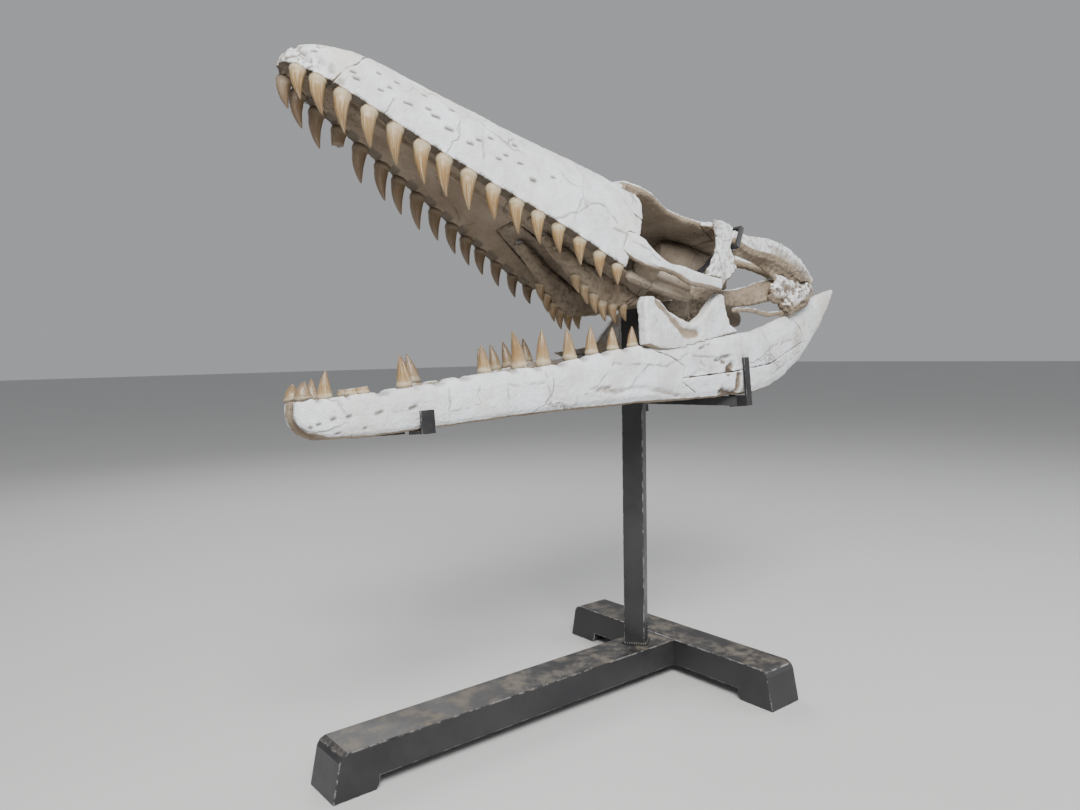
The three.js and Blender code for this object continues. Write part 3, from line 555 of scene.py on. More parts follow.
# Small holes for nerves in the cheek, as [s, t, n, half length, half width]
CHEEK_HOLES = (
    (559, 46, -8, 3, 1.6), (552, 48, -15, 3.4, 2), (516, 52, -8, 3.2, 1.6), (505, 51, 6, 2.4, 1.6),
    (525, 44, 18, 2.5, 1.5), (496, 46, 24, 3, 1.6), (453, 49, 34, 3.4, 1.6), (474, 57, 0, 6, 1.7),
    (443, 58, 13, 3, 2), (430, 62, 8, 5, 2.4), (407, 55, 40, 3.4, 1.8), (406, 67, 1, 5, 2.4),
    (370, 75, -1, 4, 2.2), (358, 74, 14, 3, 1.8), (339, 72, 32, 3, 1.8), (297, 75, 48, 3, 1.8),
    (320, 83, 4, 3.2, 1.8), (310, 82, 18, 2.8, 1.7), (284, 87, 19, 3.6, 1.8), (258, 96, 3, 2.4, 3.4),
    (225, 98, 30, 3, 1.7), (212, 103, -12, 3, 1.8),
)
# The same in the mandible, as [x, y, z, half length, half width]
JAW_HOLES = (
    (749, 27, 543, 2.4, 2), (739, 33, 547, 2, 1.8), (720, 39, 553, 2.4, 2.1), (699, 44, 555, 2.4, 2),
    (657, 52, 557, 5, 1.9), (606, 60, 561, 5, 2.1), (678, 47, 537, 1.6, 1.6), (715, 38, 532, 4, 1.5),
)
# Cracks and old breaks, as lines with their half width and depth
CHEEK_CRACKS = (
    (
        ((166, 114, 2), (150, 113, 25), (136, 113, 35), (118, 115, 38), (105, 118, 31), (91, 121, 25)),
        1.9, 1.3,
    ),
    (((93, 121, 10), (69, 123, 17), (54, 129, 8), (22, 136, 12), (-9, 138, 5)), 1.9, 1.4),
    (((205, 110, -39), (184, 112, -16), (166, 114, 0)), 1.7, 1.0),
    (((353, 61, 50), (352, 74, 18), (345, 80, -7), (340, 82, -26)), 1.3, 0.5),
    (((93, 121, 10), (110, 119, -12), (128, 116, -34)), 1.4, 0.7),
)
JAW_CRACKS = (
    (((549, 68, 583), (550, 69, 561), (549, 64, 535)), 1.6, 0.8),
    (((444, 77, 607), (451, 86, 574), (450, 78, 538)), 1.6, 0.8),
    (((498, 77, 586), (502, 78, 573), (498, 78, 558)), 1.4, 0.6),
    (((380, 95, 603), (378, 99, 573), (376, 97, 551)), 1.5, 0.8),
    (((644, 54, 557), (624, 57, 557), (602, 61, 558)), 1.3, 0.5),
    (((548, 70, 553), (526, 74, 553), (502, 77, 558)), 1.4, 0.6),
    (((449, 86, 586), (421, 91, 582), (388, 97, 585)), 1.4, 0.6),
    (((248, 120, 611), (212, 127, 606), (170, 133, 605), (131, 137, 600), (75, 139, 622)), 1.8, 1.2),
    (((170, 133, 605), (196, 129, 590), (222, 124, 563)), 1.7, 1.0),
    (((309, 111, 562), (274, 117, 584), (248, 120, 611)), 1.6, 1.0),
    (((61, 141, 618), (-6, 144, 613), (-52, 145, 619)), 2.0, 1.6),
    (((-134, 146, 604), (-190, 146, 632), (-251, 147, 643), (-287, 148, 654)), 1.7, 1.1),
    (((-117, 140, 550), (-210, 146, 588), (-290, 146, 619)), 1.4, 0.7),
)
# Worn hollows of the mandible, as lines with half width, depth, darkness (painted shade) and stain
# (staining and painted shade)
JAW_HOLLOWS = (
    (
        ((280, 116, 567), (253, 119, 562), (198, 128, 565), (151, 132, 559), (102, 133, 547)),
        5.0, 2.4, 0.0, 0.45,
    ),
    (((286, 116, 567), (262, 119, 572)), 4.0, 2.2, 0.45, 0.5),
    (((-38, 145, 586), (-50, 145, 598)), 9.0, 6.5, 0.5, 1.0),
    (((-67, 144, 550), (-71, 144, 578)), 7.5, 6.0, 0.6, 1.0),
    (((-27, 144, 603), (-20, 144, 604)), 5.0, 3.4, 0.4, 0.8),
    (((-16, 139, 549), (-58, 136, 543)), 8.0, 5.0, 0.7, 0.9),
    (((2, 144, 606), (-20, 144, 611), (-42, 145, 616)), 3.0, 3.0, 0.95, 0.4),
    (((40, 140, 631), (8, 142, 640)), 2.8, 2.6, 0.9, 0.3),
    (((40, 142, 590), (-40, 145, 580)), 36.0, 0.0, 0.0, 0.34),
    (((-300, 146, 668), (-262, 146, 640)), 44.0, 0.0, 0.0, 0.36),
    (((770, 2, 592), (770, 2, 560), (757, 3, 541), (728, 6, 529), (690, 12, 524)), 12.5, 0.5, 0.25, 1.0),
    (((42, 142, 608), (30, 142, 600)), 4.0, 2.4, 0.2, 0.6),
    (((71, 141, 579), (50, 142, 590), (20, 143, 585)), 5.0, 2.2, 0.0, 0.45),
    (((528, 73, 567), (534, 72, 567)), 12.0, -1.0, 0.0, 0.0),
)
# Trough of the coronoid, below its saddle, browned with staining and painted shade in the groove
TROUGH = ((144, 138, 713), (121, 138, 697), (98, 138, 675), (75, 138, 658), (40, 138, 659))
# Worn pits at the tip of the snout, darkened with painted shade
SNOUT_WEAR = (
    (((588, 41, -19), (583, 42, -24)), 4.5, 1.6, 0.45, 0.2),
    (((571, 46, -32), (566, 47, -33)), 4.5, 1.6, 0.4, 0.4),
    (((606, 33, -12), (598, 38, -22)), 5.5, 1.8, 0.4, 0.2),
    (((622, 20, -14), (616, 27, -24)), 5.0, 1.6, 0.4, 0.0),
)
# Bony masses that the solids leave out, each as a line of the left side and its half thickness.
# The first ones close the gaps behind the orbit.
INNER_BAR = (
    (
        (-208, 121, 148), (-245, 121, 163), (-273, 121, 169), (-302, 121, 173), (-334, 122, 172),
        (-362, 123, 169),
    ),
    9.5,
)
BAR_FILL = (
    ((-258, 129, 176), (-309, 129, 186), (-345, 129, 191), (-383, 128, 195), (-418, 127, 198)),
    13.0,
)
JOINT_MASS = (
    (((-360, 124, 133), (-388, 125, 150), (-409, 126, 172)), 18.0),
    (((-386, 123, 134), (-412, 123, 130)), 15.0),
    (((-350, 125, 143), (-372, 126, 152), (-398, 126, 154)), 15.0),
    (((-366, 126, 164), (-395, 126, 172), (-420, 126, 188)), 19.0),
    (((-398, 126, 154), (-428, 126, 172)), 19.0),
    (((-422, 127, 194), (-447, 127, 199)), 15.0),
    (((-448, 128, 206), (-458, 128, 214)), 9.0),
)
# Strut under the wing of the pterygoid
STRUT = (((-250, 118, 42), (-294, 120, 66), (-354, 121, 88), (-412, 122, 122)), 6.5)
# Ridge along the middle of the palate, over the seam of the two sides
VOMER = (
    (
        (548, 0, -27), (480, 0, -22), (439, 1, -20), (389, 1, -18), (338, 0, -16), (250, 0, -11),
        (190, 0, -8),
    ),
    6.5,
)
# Plate that closes the view between jugal and pterygoid, brown with staining and painted shade
PLATE = (
    (((0, 100, -2), (-45, 100, 6), (-85, 100, 17), (-127, 100, 28)), 12.0),
    (((10, 96, -27), (-39, 96, -16), (-92, 96, -1), (-140, 96, 15)), 12.0),
)
# Tongue of the premaxilla under the front of the maxilla, which closes the suture
SEAM_ROOT = ((579, 37, -32), (573, 39, -15), (566, 37, 2), (560, 30, 18), (556, 17, 29))
# Blunt front of the snout
SNOUT_FRONT = (((626, 0, -18), (629, 4, -26), (629, -4, -26)), 13.0)
# [s, t, n, half height] of the pterygoid, and its sockets as [s, size]
PTERYGOID = (
    (-40, 54, -28, 27), (10, 50, -50, 30), (50, 46, -50, 25), (100, 38, -42, 15), (168, 30, -26, 8),
)
PTERYGOID_TEETH = ((84, 0.46), (62, 0.5), (40, 0.52), (18, 0.54), (-4, 0.5), (-26, 0.44))
# Seed of the wander of cracks and hollows, which would follow the clock without it
DRIFT_SEED = 7
# How slits, cracks and hollows differ
SLIT_FALL = 0.3
SLIT_REACH = 1.3
SLIT_DEPTH = 1.9
# Painted shade in a crack
CRACK_DARK = 0.62
CRACK_WANDER = 3.2
HOLLOW_WANDER = 4.0


def slits(holes: tuple) -> tuple:
    """Turns a table of small holes into marks, darkened with painted shade."""
    return tuple(
        Mark(
            ((x - long, y, z + SLIT_FALL * long), (x + long, y, z - SLIT_FALL * long)),
            SLIT_REACH * wide, SLIT_DEPTH, 1.0,
        )
        for x, y, z, long, wide in holes
    )


def cracks(lines: tuple) -> tuple:
    """Turns a table of crack lines into marks, darkened with painted shade."""
    return tuple(Mark(line, wide, deep, CRACK_DARK, wander=CRACK_WANDER) for line, wide, deep in lines)


def hollows(lines: tuple) -> tuple:
    """Turns a table of worn hollows into marks, darkened with painted shade and browned with staining and
    painted shade.
    """
    return tuple(Mark(line, *looks, HOLLOW_WANDER) for line, *looks in lines)


@dataclass
class BoneSpec:
    """How one bone is refined from its solid.

    Attributes:
        node: The bone's node.
        voxel: Size of its even mesh, in millimetres.
        stained: Whether it is brown bone all over, partly staining and partly painted shade.
        below: Upward facing at which the brown of staining and painted shade starts and is full.
        lumps: Depth of its unevenness, in millimetres.
        mass: Added masses, each as a line and its half thickness.
        spongy: How far it is crumbled to spongy bone.
        spongy_from: Where along the bone that starts.
        shade: How dark it is all over, as painted shade.
    """

    node: str
    voxel: float
    stained: bool = False
    below: tuple = (0.05, -0.5)
    lumps: float = 0.9
    mass: tuple = ()
    spongy: float = 0.0
    spongy_from: float = -1000.0
    shade: float = 0.0


@dataclass
class Skin:
    """One bone's vertices with what is worked out for each of them."""

    places: np.ndarray
    normals: np.ndarray
    local: np.ndarray
    facing: np.ndarray
    push: np.ndarray
    stain: np.ndarray
    pit: np.ndarray

    def sink(self, depth: np.ndarray, dark: np.ndarray, stain: np.ndarray) -> None:
        """Sinks the skin, darkens it with painted shade, and browns it with staining and painted shade,
        each by one number per vertex.
        """
        self.push = self.push - depth
        self.pit = np.maximum(self.pit, dark)
        self.stain = np.maximum(self.stain, stain)


def triples(source: bpy.types.bpy_prop_collection, name: str) -> np.ndarray:
    """Reads a vector of each element as one row."""
    values = np.empty(len(source) * 3)
    source.foreach_get(name, values)
    return values.reshape(-1, 3)


def fractal(spots: np.ndarray, rough: float, gap: float, octaves: int) -> np.ndarray:
    """Reads fractal noise at each spot."""
    return np.array([noise.fractal(p, rough, gap, octaves) for p in spots.tolist()])


@dataclass
class BoneMaker:
    """Refines the bone solids: teeth off, skin remeshed, worn and pitted, and browned and darkened with
    staining and painted shade.
    """

    shop: Workshop

    JAW = ("dentary", "surangular", "angular", "articular", "coronoid")
    UPPER_JAW = ("premaxilla", "maxilla")
    # How flat an added mass is across
    FLATNESS = 0.7
    # Spongy bone, and the wander of cracks, in millimetres and shares
    SPONGE_GRAIN = 8.5
    SPONGE_DEPTH = 2.8
    # Painted shade in the pores of spongy bone, which also browns them
    SPONGE_DARK = 0.72
    DRIFT_GRAIN = 13.0
    # Half width of a socket, and the spacing of the dips where no tooth stands
    SOCKET = 11.5
    EMPTY_STEP = 43.0

    def trim(self, bm: bmesh.types.BMesh, node: str) -> None:
        """Takes the solid's own teeth off, level with the bone that carries them."""
        if node.startswith(self.UPPER_JAW):
            pose = self.shop.frames.cranium
            level = pose @ Vector((0, 0, MARGIN_N + 0.3))
            up = (pose.to_3x3() @ Vector((0, 0, 1))).normalized()
            geom = bm.verts[:] + bm.edges[:] + bm.faces[:]
            bmesh.ops.bisect_plane(
                bm, geom=geom, dist=1e-6, plane_co=level, plane_no=up, clear_inner=True,
            )
            rim = [e for e in bm.edges if e.is_boundary]
            bmesh.ops.holes_fill(bm, edges=rim, sides=0)
        if node.startswith("dentary"):
            pose = self.shop.frames.jaw
            back = pose.inverted()
            for vert in bm.verts:
                spot = back @ vert.co
                spot.z = min(spot.z, float(along(RAMUS, spot.x, 2)) - 0.8)
                vert.co = pose @ spot

    def add_mass(self, bm: bmesh.types.BMesh, line: tuple, thick: float, sign: int) -> None:
        """Adds a rounded bony mass along a line, which the even skin then joins to the bone.

        Args:
            bm: The bone's bmesh.
            line: Points of the left side in the cranium's millimetres.
            thick: Its half thickness.
            sign: 1 for the left side, -1 for the right.
        """
        pose = self.shop.frames.cranium
        size = Matrix.Diagonal((thick, thick * self.FLATNESS, thick, 1.0))
        for start, stop in zip(line[:-1], line[1:]):
            a, b = Vector(start), Vector(stop)
            steps = max(int((b - a).length / (0.4 * thick)), 1)
            for step in range(steps + 1):
                spot = a.lerp(b, step / steps)
                spot.y *= sign
                at = pose @ Matrix.Translation(spot) @ size
                bmesh.ops.create_icosphere(bm, subdivisions=2, radius=1.0, matrix=at)

    def skin(self, spec: BoneSpec) -> bpy.types.Mesh:
        """Copies a bone's solid and remeshes it evenly.

        Args:
            spec: Which bone, and how fine.

        Returns:
            The smooth, even mesh.
        """
        bm = solid_of(spec.node)
        self.trim(bm, spec.node)
        bmesh.ops.recalc_face_normals(bm, faces=bm.faces)
        sign = -1 if spec.node.endswith("right") else 1
        for line, thick in spec.mass:
            self.add_mass(bm, line, thick, sign)
        rough = self.shop.mesh_of(bm, spec.node + "_rough")
        piece = put(spec.node + "_rough", rough)
        remesh = piece.modifiers.new("even", "REMESH")
        remesh.mode = "VOXEL"
        remesh.voxel_size = spec.voxel * MM
        soften = piece.modifiers.new("soften", "SMOOTH")
        soften.factor = 0.5
        soften.iterations = 4
        ready = piece.evaluated_get(bpy.context.evaluated_depsgraph_get())
        mesh = bpy.data.meshes.new_from_object(ready)
        bpy.data.objects.remove(piece)
        bpy.data.meshes.remove(rough)
        return mesh

    def read(self, mesh: bpy.types.Mesh, spec: BoneSpec) -> Skin:
        """Reads a bone's vertices and starts its wear and its brown of staining and painted shade.

        Args:
            mesh: The even mesh of the bone.
            spec: How it is refined.

        Returns:
            Its vertices, worn, and brown below and on the inner side with staining and painted shade.
        """
        places = triples(mesh.vertices, "co")
        normals = triples(mesh.vertex_normals, "vector")
        jaw = spec.node.startswith(self.JAW)
        pose = self.shop.frames.jaw if jaw else self.shop.frames.cranium
        back = np.array(pose.inverted())
        local = places @ back[:3, :3].T + back[:3, 3]
        facing = normals @ (back[:3, :3] * MM).T
        side = np.sign(local[:, 1])
        # Brown on the inner sides and on the undersides: partly staining, partly painted shade
        inward = ease(-0.15, -0.6, facing[:, 1] * side) * (np.abs(local[:, 1]) > 40)
        stain = ease(spec.below[0], spec.below[1], normals[:, 2])
        stain = np.maximum(stain, inward * (0.7 if jaw else 0.95))
        push = self.wear(local, spec.lumps)
        return Skin(places, normals, local, facing, push, stain, np.full(len(places), spec.shade))

    def crumble(self, skin: Skin, spec: BoneSpec) -> None:
        """Pits a bone like spongy bone, with painted shade and staining in its pores, over the part that
        its spec names.
        """
        cells = fractal(skin.local / self.SPONGE_GRAIN - 20.0, 0.9, 2.0, 3)
        window = spec.spongy * ease(0.0, 18.0, skin.local[:, 0] - spec.spongy_from)
        share = window * ease(0.04, 0.36, cells)
        stain = self.SPONGE_DARK * window * ease(-0.15, 0.2, cells)
        skin.sink(self.SPONGE_DEPTH * share, self.SPONGE_DARK * share, stain)

    def mark(self, skin: Skin, marks: tuple) -> None:
        """Sinks a bone at its marks, darkens them with painted shade, and browns them with staining and
        painted shade.
        """
        spots = (skin.local / self.DRIFT_GRAIN).tolist()
        drift = np.array([tuple(noise.noise_vector(p)) for p in spots])
        for mark in marks:
            share = mark.nearness(skin.local, drift)
            skin.sink(mark.depth * share, mark.dark * share, mark.stain * share)

    def make(self, spec: BoneSpec, marks: tuple = ()) -> bpy.types.Object:
        """Makes one bone.

        Args:
            spec: How it is refined.
            marks: Its pits and cracks.

        Returns:
            The piece, which stands for the bone's node.
        """
        mesh = self.skin(spec)
        skin = self.read(mesh, spec)
        if spec.node.startswith(self.UPPER_JAW):
            self.upper_sockets(skin)
        if spec.node.startswith("dentary"):
            self.lower_sockets(skin)
        if spec.spongy:
            self.crumble(skin, spec)
        if marks:
            self.mark(skin, marks)
        places = skin.places + skin.normals * (skin.push * MM)[:, None]
        mesh.vertices.foreach_set("co", places.ravel())
        mesh.polygons.foreach_set("use_smooth", [True] * len(mesh.polygons))
        self.shop.store(mesh, "stain", np.clip(skin.stain, 0, 1))
        self.shop.store(mesh, "pit", np.clip(skin.pit, 0, 1))
        mesh.update()
        material = self.shop.stained if spec.stained else self.shop.bone
        slot = "stained_bone" if spec.stained else "fossil_bone"
        piece = self.shop.link("bone_" + spec.node, mesh, material, slot)
        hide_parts(spec.node)
        return piece

    @staticmethod
    def wear(local: np.ndarray, lumps: float) -> np.ndarray:
        """How far the bone's skin stands in or out of its solid, in millimetres.

        Args:
            local: The vertices, in the bone's own millimetres.
            lumps: The depth of the unevenness.

        Returns:
            One number per vertex, mostly inwards.
        """
        broad = fractal(local / 34.0, 0.7, 2.1, 3)
        fine = fractal(local / 7.0 + 40.0, 0.8, 2.2, 2)
        return lumps * (0.9 * broad + 0.46 * fine - 0.25)

    def roots(self, x: np.ndarray, sockets: tuple, share: float) -> np.ndarray:
        """How near each vertex is to a tooth's root.

        Args:
            x: Where each vertex lies along the bone.
            sockets: Rows of socket, size and lean.
            share: How much of a root's width follows the size of its tooth.

        Returns:
            One number per vertex, 1 over a root.
        """
        root = np.zeros(len(x))
        for place, size, _ in sockets:
            width = self.SOCKET * (1.0 - share + share * size)
            root = np.maximum(root, np.exp(-(((x - place) / width) ** 2)))
        return root

    def upper_sockets(self, skin: Skin) -> None:
        """Swells the cheek over each upper root, sinks the gaps and darkens them with painted shade, and
        browns the palate with staining and painted shade.
        """
        s, t, n = skin.local.T
        height = n - MARGIN_N
        root = self.roots(s, UPPER, 0.5)
        outer = np.abs(t) > along(ROW, s) + 2
        low = ease(26, 4, height)
        square = ease(0.75, 0.45, np.abs(skin.facing[:, 0]))
        skin.push = skin.push + square * outer * low * (2.0 * root - 1.1)
        gap = ease(7, 1.5, height) * ease(0.55, 0.3, root) * (s > 40)
        inside = ease(-6.0, -14.0, np.abs(t) - along(ROW, s))
        # Painted shade in the gaps; brown on the palate, partly staining and partly painted shade
        skin.sink(2.6 * gap * square, 0.75 * gap, inside * ease(12.0, 2.0, n))

    def lower_sockets(self, skin: Skin) -> None:
        """Swells the dentary's edge at each lower root, sinks it between them, and darkens the dips with
        painted shade.
        """
        x, y, z = skin.local.T
        depth = along(RAMUS, x, 2) - z
        root = self.roots(x, LOWER_LEFT if y.mean() > 0 else LOWER_RIGHT, 0.4)
        empty = np.abs((x / self.EMPTY_STEP) % 1.0 - 0.5) * 2
        top = ease(12, 3, depth) * (x > 160)
        dip = ease(0.5, 0.2, root) * ease(0.35, 0.8, empty)
        skin.push = skin.push + top * (1.2 * root - 3.0 * dip)
        # Painted shade in the dips of the empty sockets
        skin.pit = np.maximum(skin.pit, 0.55 * top * dip * ease(0.2, 0.8, skin.facing[:, 2]))


@dataclass(frozen=True)
class Tooth:
    """One recurved tooth in millimetres of its own frame."""

    base: tuple
    axis: tuple
    lean: tuple
    length: float
    radius: float
    # Darker tone, and painted shade on teeth that lie in shadow
    tint: float = 0.0
    snapped: float = 0.0


@dataclass
class ToothMaker:
    """Builds teeth ring by ring and joins those of one bone."""

    shop: Workshop

    SEGMENTS = 20
    # Depth of the foot inside the bone, at a length of at least the shortest, and its width
    ROOT = 8.0
    SHORTEST = 20.0
    ROOT_WIDTH = 0.66
    OVAL = 0.94
    # Height and grain of a broken tooth's jagged face
    JAG = 3.2
    JAG_GRAIN = 4.5
    # [share of the length, width], from the dull swollen foot through the ridged crown to the tip
    PROFILE = (
        (-0.06, 0.84), (0.0, 1.06), (0.06, 1.22), (0.12, 1.24), (0.17, 1.16), (0.20, 1.09),
        (0.27, 1.06), (0.36, 0.99), (0.46, 0.90), (0.56, 0.79), (0.66, 0.66), (0.76, 0.52),
        (0.84, 0.39), (0.91, 0.27), (0.96, 0.17), (0.99, 0.09), (1.0, 0.035),
    )

    def ring_pose(self, tooth: Tooth, share: float, width: float) -> Matrix:
        """Place of one ring of a tooth.

        Args:
            tooth: The tooth.
            share: How far up its length.
            width: Its width there, as a share of the radius.

        Returns:
            The matrix that puts a unit circle there.
        """
        axis = Vector(tooth.axis).normalized()
        lean = Vector(tooth.lean)
        lean -= axis * lean.dot(axis)
        up = max(share, 0.0)
        middle = Vector(tooth.base) + axis * (share * tooth.length) + lean * up * up
        slope = (axis * tooth.length + lean * 2 * up).normalized()
        across = slope.cross(Vector((1, 0, 0)) if abs(slope.x) < 0.8 else Vector((0, 1, 0))).normalized()
        other = slope.cross(across)
        turn = Matrix((across, other, slope)).transposed().to_4x4()
        size = tooth.radius * width
        return Matrix.Translation(middle) @ turn @ Matrix.Diagonal((size * self.OVAL, size, size, 1.0))

    def grow(self, bm: bmesh.types.BMesh, tooth: Tooth, layers: dict, seed: int) -> None:
        """Adds one tooth to a bmesh, with its attributes.

        Args:
            bm: The bmesh of the row.
            tooth: The tooth.
            layers: The vertex layers height, around, and the one for tone and painted shade.
            seed: Shifts the pattern of this tooth.
        """
        stations = [(-self.ROOT / max(tooth.length, self.SHORTEST), self.ROOT_WIDTH), *self.PROFILE]
        if tooth.snapped:
            stations = [q for q in stations if q[0] < tooth.snapped]
            width = stations[-1][1]
            stations += [(tooth.snapped, width * 0.92), (tooth.snapped + 0.004, width * 0.55)]
        made = bmesh.ops.create_circle(bm, cap_ends=True, segments=self.SEGMENTS, radius=1.0)
        ring = made["verts"]
        pose = self.ring_pose(tooth, *stations[0])
        bmesh.ops.transform(bm, matrix=pose, verts=ring)
        face = next(f for f in ring[0].link_faces)
        levels = [(ring, stations[0][0], pose)]
        for index, station in enumerate(stations[1:]):
            step = bmesh.ops.extrude_face_region(bm, geom=[face])["geom"]
            if index:
                bmesh.ops.delete(bm, geom=[face], context="FACES_ONLY")
            fresh = [v for v in step if isinstance(v, bmesh.types.BMVert)]
            face = next(f for f in step if isinstance(f, bmesh.types.BMFace))
            target = self.ring_pose(tooth, *station)
            bmesh.ops.transform(bm, matrix=target @ pose.inverted(), verts=fresh)
            pose = target
            levels.append((fresh, station[0], pose))
        for verts, share, placed in levels:
            back = placed.inverted()
            for vert in verts:
                if tooth.snapped and share >= tooth.snapped:
                    vert.co += Vector(tooth.axis) * self.JAG * noise.noise(vert.co / self.JAG_GRAIN)
                spot = back @ vert.co
                vert[layers["height"]] = max(share, 0.0)
                vert[layers["tint"]] = tooth.tint
                vert[layers["around"]] = Vector((spot.x * 1.5 + seed, spot.y * 1.5, share * 0.5))

    def row(self, name: str, teeth: list, pose: Matrix) -> bpy.types.Object:
        """Joins teeth into one piece.

        Args:
            name: The piece's name.
            teeth: Its teeth.
            pose: From their millimetres to the row frame.

        Returns:
            The piece.
        """
        bm = bmesh.new()
        layers = {
            "height": bm.verts.layers.float.new("height"),
            "tint": bm.verts.layers.float.new("tint"),
            "around": bm.verts.layers.float_vector.new("around"),
        }
        for number, tooth in enumerate(teeth):
            self.grow(bm, tooth, layers, 7 * number)
        bmesh.ops.transform(bm, matrix=pose, verts=bm.verts)
        bmesh.ops.recalc_face_normals(bm, faces=bm.faces)
        return self.shop.link(name, self.shop.mesh_of(bm, name), self.shop.enamel, "tooth_enamel")


# How the cranium's broken, spongy and brown paired bones are refined, where the brown is partly staining
# and partly painted shade
BROKEN_BONES = {
    "postorbital": {"voxel": 2.0, "lumps": 2.0, "spongy": 0.5},
    "squamosal": {
        "voxel": 2.0, "below": (0.3, -0.1), "lumps": 1.7, "mass": (INNER_BAR, BAR_FILL), "spongy": 0.45,
    },
    "quadrate": {"voxel": 1.9, "below": (0.9, -0.5), "lumps": 3.0, "mass": JOINT_MASS, "spongy": 1.0},
    "pterygoid": {"voxel": 2.2, "below": (0.85, 0.5), "lumps": 1.8, "mass": (STRUT,), "spongy": 0.5},
    "ectopterygoid": {"voxel": 2.4, "stained": True, "lumps": 1.8, "mass": PLATE},
    "palatine": {"voxel": 2.4, "stained": True, "lumps": 1.8, "spongy": 0.4},
}


@dataclass
class Cranium:
    """Everything above the jaw joint."""

    shop: Workshop
    bones: BoneMaker
    teeth: ToothMaker

    def upper_teeth(self, side: Side, seed: int) -> list:
        """Returns the upper teeth of one side, front to back."""
        roll = Dice(seed)
        made = []
        for index, (s, size, lean) in enumerate(UPPER):
            k = size * (0.96 + 0.08 * roll())
            sign = side.value
            broken = side is Side.RIGHT and index == BROKEN_RIGHT
            made.append(Tooth(
                base=(s, sign * float(along(ROW, s)), MARGIN_N + 2),
                axis=(-0.12 + 0.06 * roll(), sign * 0.06, -1),
                lean=(-lean, -sign * 4, 0),
                length=TOOTH_LENGTH * k,
                radius=TOOTH_RADIUS * (0.62 + 0.38 * k),
                # The right teeth lie in shadow and get painted shade; the left ones differ a little in tone
                tint=0.85 if side is Side.RIGHT else 0.04 + 0.1 * ((index * 7) % 5) / 4,
                snapped=0.5 if broken else 0.0,
            ))
        return made

    def pterygoid_teeth(self, side: Side) -> list:
        """Returns the small hooked teeth of one pterygoid."""
        sign = side.value
        made = []
        for s, size in PTERYGOID_TEETH:
            t, n, half = (along(PTERYGOID, s, column) for column in (1, 2, 3))
            made.append(Tooth(
                base=(s, sign * (t + 4), n - half + 4), axis=(-0.1, sign * 0.1, -1), lean=(-14, 0, 0),
                length=1.1 * TOOTH_LENGTH * size, radius=0.78 * TOOTH_RADIUS, tint=0.45,
            ))
        return made

    def build(self) -> None:
        """Builds the cranium's bones and teeth."""
        near = slits(CHEEK_HOLES) + cracks(CHEEK_CRACKS) + hollows(SNOUT_WEAR)
        both = {Side.LEFT: near, Side.RIGHT: tuple(mark.mirrored() for mark in near)}
        roots = tuple((tuple((s, sign * t, n) for s, t, n in SEAM_ROOT), 7.0) for sign in (1, -1))
        snout = BoneSpec("premaxilla", 1.9, mass=(*roots, SNOUT_FRONT), spongy=0.8, spongy_from=590.0)
        self.bones.make(snout, both[Side.LEFT] + both[Side.RIGHT])
        for node in ("frontal", "parietal"):
            self.bones.make(BoneSpec(node, 2.4, below=(0.6, 0.28), lumps=1.4, spongy=0.1))
        # The braincase is brown all over and darkened by painted shade
        self.bones.make(BoneSpec("braincase", 3.0, stained=True, below=(2.0, 1.5), lumps=1.8, shade=0.42))
        for side in Side:
            voxel = 1.9 if side is Side.LEFT else 2.2
            for name in ("maxilla", "prefrontal", "jugal"):
                ridge = (VOMER,) if name == "maxilla" and side is Side.LEFT else ()
                self.bones.make(BoneSpec(f"{name}_{side.label}", voxel, mass=ridge), both[side])
            for name, look in BROKEN_BONES.items():
                self.bones.make(BoneSpec(f"{name}_{side.label}", **look))
        left = self.upper_teeth(Side.LEFT, 11)
        right = self.upper_teeth(Side.RIGHT, 23)
        pose = self.shop.frames.cranium
        front = left[:PREMAXILLA_TEETH] + right[:PREMAXILLA_TEETH]
        self.teeth.row("teeth_premaxilla", front, pose)
        self.teeth.row("teeth_maxilla_left", left[PREMAXILLA_TEETH:], pose)
        self.teeth.row("teeth_maxilla_right", right[PREMAXILLA_TEETH:], pose)
        for side in Side:
            self.teeth.row(f"teeth_pterygoid_{side.label}", self.pterygoid_teeth(side), pose)


